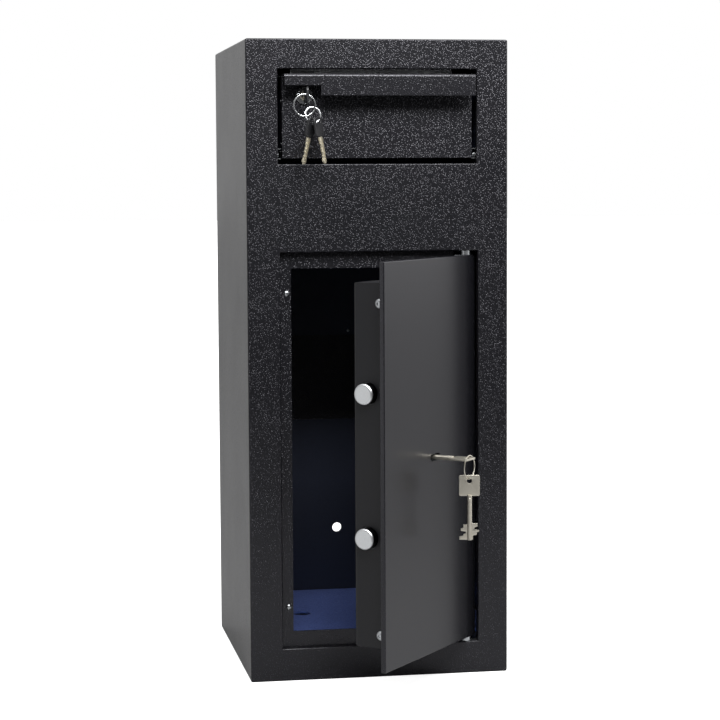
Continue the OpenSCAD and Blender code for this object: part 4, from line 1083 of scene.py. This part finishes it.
class DROPSAFE_OT_drawer_keys(bpy.types.Operator):
    """Make the moulded heads and cut blades of the drawer lock's three keys"""

    bl_idname = "drop_safe.drawer_keys"
    bl_label = "Drawer keys"

    def execute(self, context):
        keys = context.scene.drop_safe.keys
        sets = [
            ("drawer_key", "drawer_lock", (0, -1, 0)), ("left_key", "left_key", (0, 0, 1)),
            ("right_key", "right_key", (0, 0, 1)),
        ]
        for name, body, up in sets:
            head, blade = name + "_head", name + "_blade"
            place = axes_of(head, up)
            wide, high, thick = spans_of(head, place)
            slot_wide, slot_high = keys.head_slot / MM, keys.head_slot_height / MM
            slot = round_outline(slot_wide, slot_high, HEAD_SLOT_CORNER, (0, high - HEAD_SLOT_IN))
            outline = round_outline(wide, high, keys.head_corner / MM, (0, high / 2), 8)
            mesh = plate(head, [outline, slot], thick, HEAD_EASE, 3)
            add_piece(head + "_moulded", placed(head, mesh, place), body, "black_plastic", "plastic", head)
            place = axes_of(blade, -Vector(up))
            wide, long, thick = spans_of(blade, place)
            mesh = plate(blade, [blade_outline(wide, long, keys.blade_cut / MM)], thick, BLADE_EASE, 1)
            mesh = milled(blade, mesh, wide, long, thick)
            add_piece(blade + "_cut", placed(blade, mesh, place), body, "nickel_plate", "blade", blade)
        return {"FINISHED"}


# A split ring's wire starts and ends at these degrees, and changes its level within the crank's degrees
# on either side of a full turn
COIL_START = 24
COIL_END = 696
COIL_STEPS = 168
COIL_CRANK = 22
FULL_TURN = 360

# The wire's half width and its corners, as shares of the ring's thickness and of the wire's height
WIRE_HALF_WIDTH = 0.42
WIRE_CORNER = 0.35

# Rough direction of a ring's axis, and rounds of the search that starts from it
AXIS_GUESS = (0.3, -1, 0.1)
AXIS_ROUNDS = 60


def split_ring(name, node, gap):
    """Two-turn split ring of flat wire in the place of a CAD ring."""
    data = frame["nodes"][node].data
    centre = sum((v.co for v in data.vertices), Vector()) / len(data.vertices)
    # The ring's axis is the direction in which its surface spans least
    sums = Matrix(((0, 0, 0), (0, 0, 0), (0, 0, 0)))
    for vertex in data.vertices:
        arm = vertex.co - centre
        for i in range(3):
            for j in range(3):
                sums[i][j] += arm[i] * arm[j]
    axis = Vector(AXIS_GUESS).normalized()
    inverse = sums.inverted()
    for _ in range(AXIS_ROUNDS):
        axis = (inverse @ axis).normalized()
    turn = Vector((0, 0, 1)).rotation_difference(axis).to_matrix().to_4x4()
    reach = [(vertex.co - centre).length for vertex in data.vertices]
    outer = max(reach)
    thick = 2 * max(abs((vertex.co - centre).dot(axis)) for vertex in data.vertices)
    middle = outer - thick / 2
    high = thick / 2 - gap
    wide = thick * WIRE_HALF_WIDTH
    section = round_outline(wide * 2, high, high * WIRE_CORNER, steps=2)
    mesh = bmesh.new()
    loops = []
    for k in range(COIL_STEPS + 1):
        degree = COIL_START + (COIL_END - COIL_START) * k / COIL_STEPS
        share = min(max((degree - FULL_TURN + COIL_CRANK) / (2 * COIL_CRANK), 0), 1)
        rise = (share * share * (3 - 2 * share) - 0.5) * (high + gap)
        spin = Matrix.Rotation(math.radians(degree), 4, "Z")
        loops.append([mesh.verts.new(spin @ Vector((middle + x, 0, y + rise))) for x, y in section])
    skin(mesh, loops)
    return placed(name, mesh, Matrix.Translation(centre) @ turn)


class DROPSAFE_OT_split_rings(bpy.types.Operator):
    """Wind the two split rings of the drawer's keys"""

    bl_idname = "drop_safe.split_rings"
    bl_label = "Split rings"

    def execute(self, context):
        gap = context.scene.drop_safe.keys.coil_gap
        for node, body in (("large_split_ring", "large_ring"), ("small_split_ring", "small_ring")):
            mesh = split_ring(node + "_coil", node, gap)
            add_piece(node + "_coil", mesh, body, "nickel_plate", "chrome", node)
        return {"FINISHED"}


# The mat's rounded edge
MAT_EASE = 0.8 * MM


class DROPSAFE_OT_felt_mat(bpy.types.Operator):
    """Lay the felt mat on the floor of the safe"""

    bl_idname = "drop_safe.felt_mat"
    bl_label = "Felt mat"

    def execute(self, context):
        mesh = eased("mat", as_mesh("mat", merged_copy("felt_mat")), MAT_EASE, 3)
        mat = add_piece("felt_floor_mat", mesh, "safe_body", "felt", "felt", "felt_mat")
        return {"FINISHED"}


# The photograph's camera: turns in degrees, place in metres, focal length in pixels of a 720-pixel frame
CAMERA_YAW = 9.952
CAMERA_PITCH = 4.906
CAMERA_ROLL = -0.302
CAMERA_PLACE = (-0.5137, -2.9609, 0.6704)
CAMERA_FOCUS = 2138.0
FRAME_PIXELS = 720
SENSOR_WIDTH = 36.0
CAMERA_REACH = 200


def camera_matrix():
    """Place and turn of the camera."""
    yaw, pitch, roll = (math.radians(v) for v in (CAMERA_YAW, CAMERA_PITCH, CAMERA_ROLL))
    ahead = Vector((math.sin(yaw) * math.cos(pitch), math.cos(yaw) * math.cos(pitch), -math.sin(pitch)))
    level = Vector((math.cos(yaw), -math.sin(yaw), 0))
    top = level.cross(ahead)
    right = level * math.cos(roll) + top * math.sin(roll)
    up = top * math.cos(roll) - level * math.sin(roll)
    turn = Matrix((right, up, -ahead)).transposed().to_4x4()
    return Matrix.Translation(CAMERA_PLACE) @ turn


# Softboxes: name, place, point that it faces, size, power in watts
SOFTBOXES = [
    ("front_softbox", (0.0, -2.3, 2.25), (0.0, -0.18, 0.6), (1.3, 0.5), 50),
    ("top_softbox", (0.1, -0.7, 1.3), (0.0, -0.18, 0.75), (0.9, 0.2), 11),
    ("left_softbox", (-1.7, -1.0, 0.35), (-0.06, -0.25, 0.3), (0.35, 0.7), 0.9),
]
# The surround is darkest in front of the safe, medium behind it and bright at its right
DARK_SIDE = (-0.25, -0.97, 0.0)
BRIGHT_SIDE = (0.92, 0.39, 0.0)
SURROUND_NEAR = 0.97
SURROUND_FAR = 0.2
SURROUND_SIDE = 0.62
BRIGHT_EDGE = 0.55
BRIGHT_FULL = 0.99
BRIGHT_LEVEL = 1.25
ZENITH_EDGE = 0.7
ZENITH_FULL = 0.95
ZENITH_GLOW = 1.0
# The floor's glow to the camera, its tone in the coats' reflections, and its extent in metres
FLOOR_GLOW = 0.8
FLOOR_MIRRORED = 0.45
FLOOR_FRONT = -1.5
FLOOR_REACH = 30


class DROPSAFE_OT_stage(bpy.types.Operator):
    """Set the floor, the camera and the studio light"""

    bl_idname = "drop_safe.stage"
    bl_label = "Stage"

    def execute(self, context):
        scene = context.scene
        floor = bpy.data.meshes.new("studio_floor")
        reach = FLOOR_REACH
        corners = [(-reach, FLOOR_FRONT, 0), (reach, FLOOR_FRONT, 0), (reach, reach, 0), (-reach, reach, 0)]
        floor.from_pydata(corners, [], [(0, 1, 2, 3)])
        floor.materials.append(finish_named("paper"))
        linked("studio_floor", floor)
        lens = bpy.data.cameras.new("photo_camera")
        lens.sensor_width = SENSOR_WIDTH
        lens.lens = CAMERA_FOCUS * SENSOR_WIDTH / FRAME_PIXELS
        lens.clip_end = CAMERA_REACH
        camera = linked("photo_camera", lens)
        camera.matrix_world = camera_matrix()
        scene.camera = camera
        for name, place, target, (wide, high), watts in SOFTBOXES:
            light = bpy.data.lights.new(name, "AREA")
            light.shape = "RECTANGLE"
            light.size, light.size_y, light.energy = wide, high, watts
            box = linked(name, light)
            facing = (Vector(target) - Vector(place)).to_track_quat("-Z", "Y").to_matrix().to_4x4()
            box.matrix_world = Matrix.Translation(place) @ facing
            box.visible_camera = False
        self.light_world(scene)
        scene.view_settings.view_transform = "Standard"
        return {"FINISHED"}

    def light_world(self, scene):
        """White surround, dark ahead of the safe, bright at its right, and plain white to the camera."""
        world = bpy.data.worlds.new("studio_surround")
        world.use_nodes = True
        scene.world = world
        tree = world.node_tree
        tree.nodes.clear()
        way = add(tree, "ShaderNodeTexCoord").outputs["Generated"]
        facing = add(tree, "ShaderNodeVectorMath", {"operation": "DOT_PRODUCT"}, {1: DARK_SIDE}, {0: way})
        ahead = facing.outputs["Value"]
        fall = add(tree, "ShaderNodeMapRange", {"interpolation_type": "SMOOTHSTEP"}, {
            "From Min": SURROUND_NEAR, "From Max": SURROUND_FAR, "To Min": 0.0, "To Max": SURROUND_SIDE,
        }, {"Value": ahead}).outputs["Result"]
        aside = add(tree, "ShaderNodeVectorMath", {"operation": "DOT_PRODUCT"}, {1: BRIGHT_SIDE}, {0: way})
        right = add(tree, "ShaderNodeMapRange", {"interpolation_type": "SMOOTHSTEP"}, {
            "From Min": BRIGHT_EDGE, "From Max": BRIGHT_FULL, "To Min": 0.0, "To Max": BRIGHT_LEVEL,
        }, {"Value": aside.outputs["Value"]}).outputs["Result"]
        parts = add(tree, "ShaderNodeSeparateXYZ", links={"Vector": way})
        glow = add(tree, "ShaderNodeMapRange", {"interpolation_type": "SMOOTHSTEP"}, {
            "From Min": ZENITH_EDGE, "From Max": ZENITH_FULL, "To Min": 0.0, "To Max": ZENITH_GLOW,
        }, {"Value": parts.outputs["Z"]}).outputs["Result"]
        level = sum_of(tree, sum_of(tree, fall, right), glow)
        around = add(tree, "ShaderNodeBackground", None, {"Color": (1, 1, 1, 1)}, {"Strength": level})
        seen = add(tree, "ShaderNodeBackground", None, {"Color": (1, 1, 1, 1), "Strength": 1.0})
        eye = add(tree, "ShaderNodeLightPath").outputs["Is Camera Ray"]
        either = add(tree, "ShaderNodeMixShader", None, None,
                     {0: eye, 1: around.outputs["Background"], 2: seen.outputs["Background"]})
        add(tree, "ShaderNodeOutputWorld", None, None, {"Surface": either.outputs["Shader"]})


OPERATORS = [
    DROPSAFE_OT_stage, DROPSAFE_OT_finish_nodes, DROPSAFE_OT_body_shell, DROPSAFE_OT_door_sheets,
    DROPSAFE_OT_bolts, DROPSAFE_OT_drawer_face, DROPSAFE_OT_screws, DROPSAFE_OT_rivets, DROPSAFE_OT_door_keys,
    DROPSAFE_OT_drawer_keys, DROPSAFE_OT_split_rings, DROPSAFE_OT_felt_mat,
]


class DROPSAFE_PT_panel(bpy.types.Panel):
    """Lists the steps that dress the safe."""

    bl_label = "Drop Safe"
    bl_idname = "DROPSAFE_PT_panel"
    bl_space_type = "VIEW_3D"
    bl_region_type = "UI"
    bl_category = "Drop Safe"

    def draw(self, context):
        settings = context.scene.drop_safe
        for group in (settings.finishes, settings.sheets, settings.hardware, settings.keys):
            box = self.layout.box()
            for key in group.bl_rna.properties.keys():
                if key not in ("rna_type", "name"):
                    box.prop(group, key)
        for operator in OPERATORS:
            self.layout.operator(operator.bl_idname)


CLASSES = [
    DropSafeFinishes, DropSafeSheets, DropSafeHardware, DropSafeKeys, DropSafeSettings, *OPERATORS,
    DROPSAFE_PT_panel,
]


def register():
    """Makes the classes and the settings known."""
    for item in CLASSES:
        bpy.utils.register_class(item)
    bpy.types.Scene.drop_safe = PointerProperty(type=DropSafeSettings)


def unregister():
    """Takes them back."""
    del bpy.types.Scene.drop_safe
    for item in reversed(CLASSES):
        bpy.utils.unregister_class(item)


def main():
    """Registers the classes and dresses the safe."""
    register()
    bpy.ops.drop_safe.stage()
    bpy.ops.drop_safe.finish_nodes()
    bpy.ops.drop_safe.body_shell()
    bpy.ops.drop_safe.door_sheets()
    bpy.ops.drop_safe.bolts()
    bpy.ops.drop_safe.drawer_face()
    bpy.ops.drop_safe.screws()
    bpy.ops.drop_safe.rivets()
    bpy.ops.drop_safe.door_keys()
    bpy.ops.drop_safe.drawer_keys()
    bpy.ops.drop_safe.split_rings()
    bpy.ops.drop_safe.felt_mat()


if __name__ == "__main__":
    main()
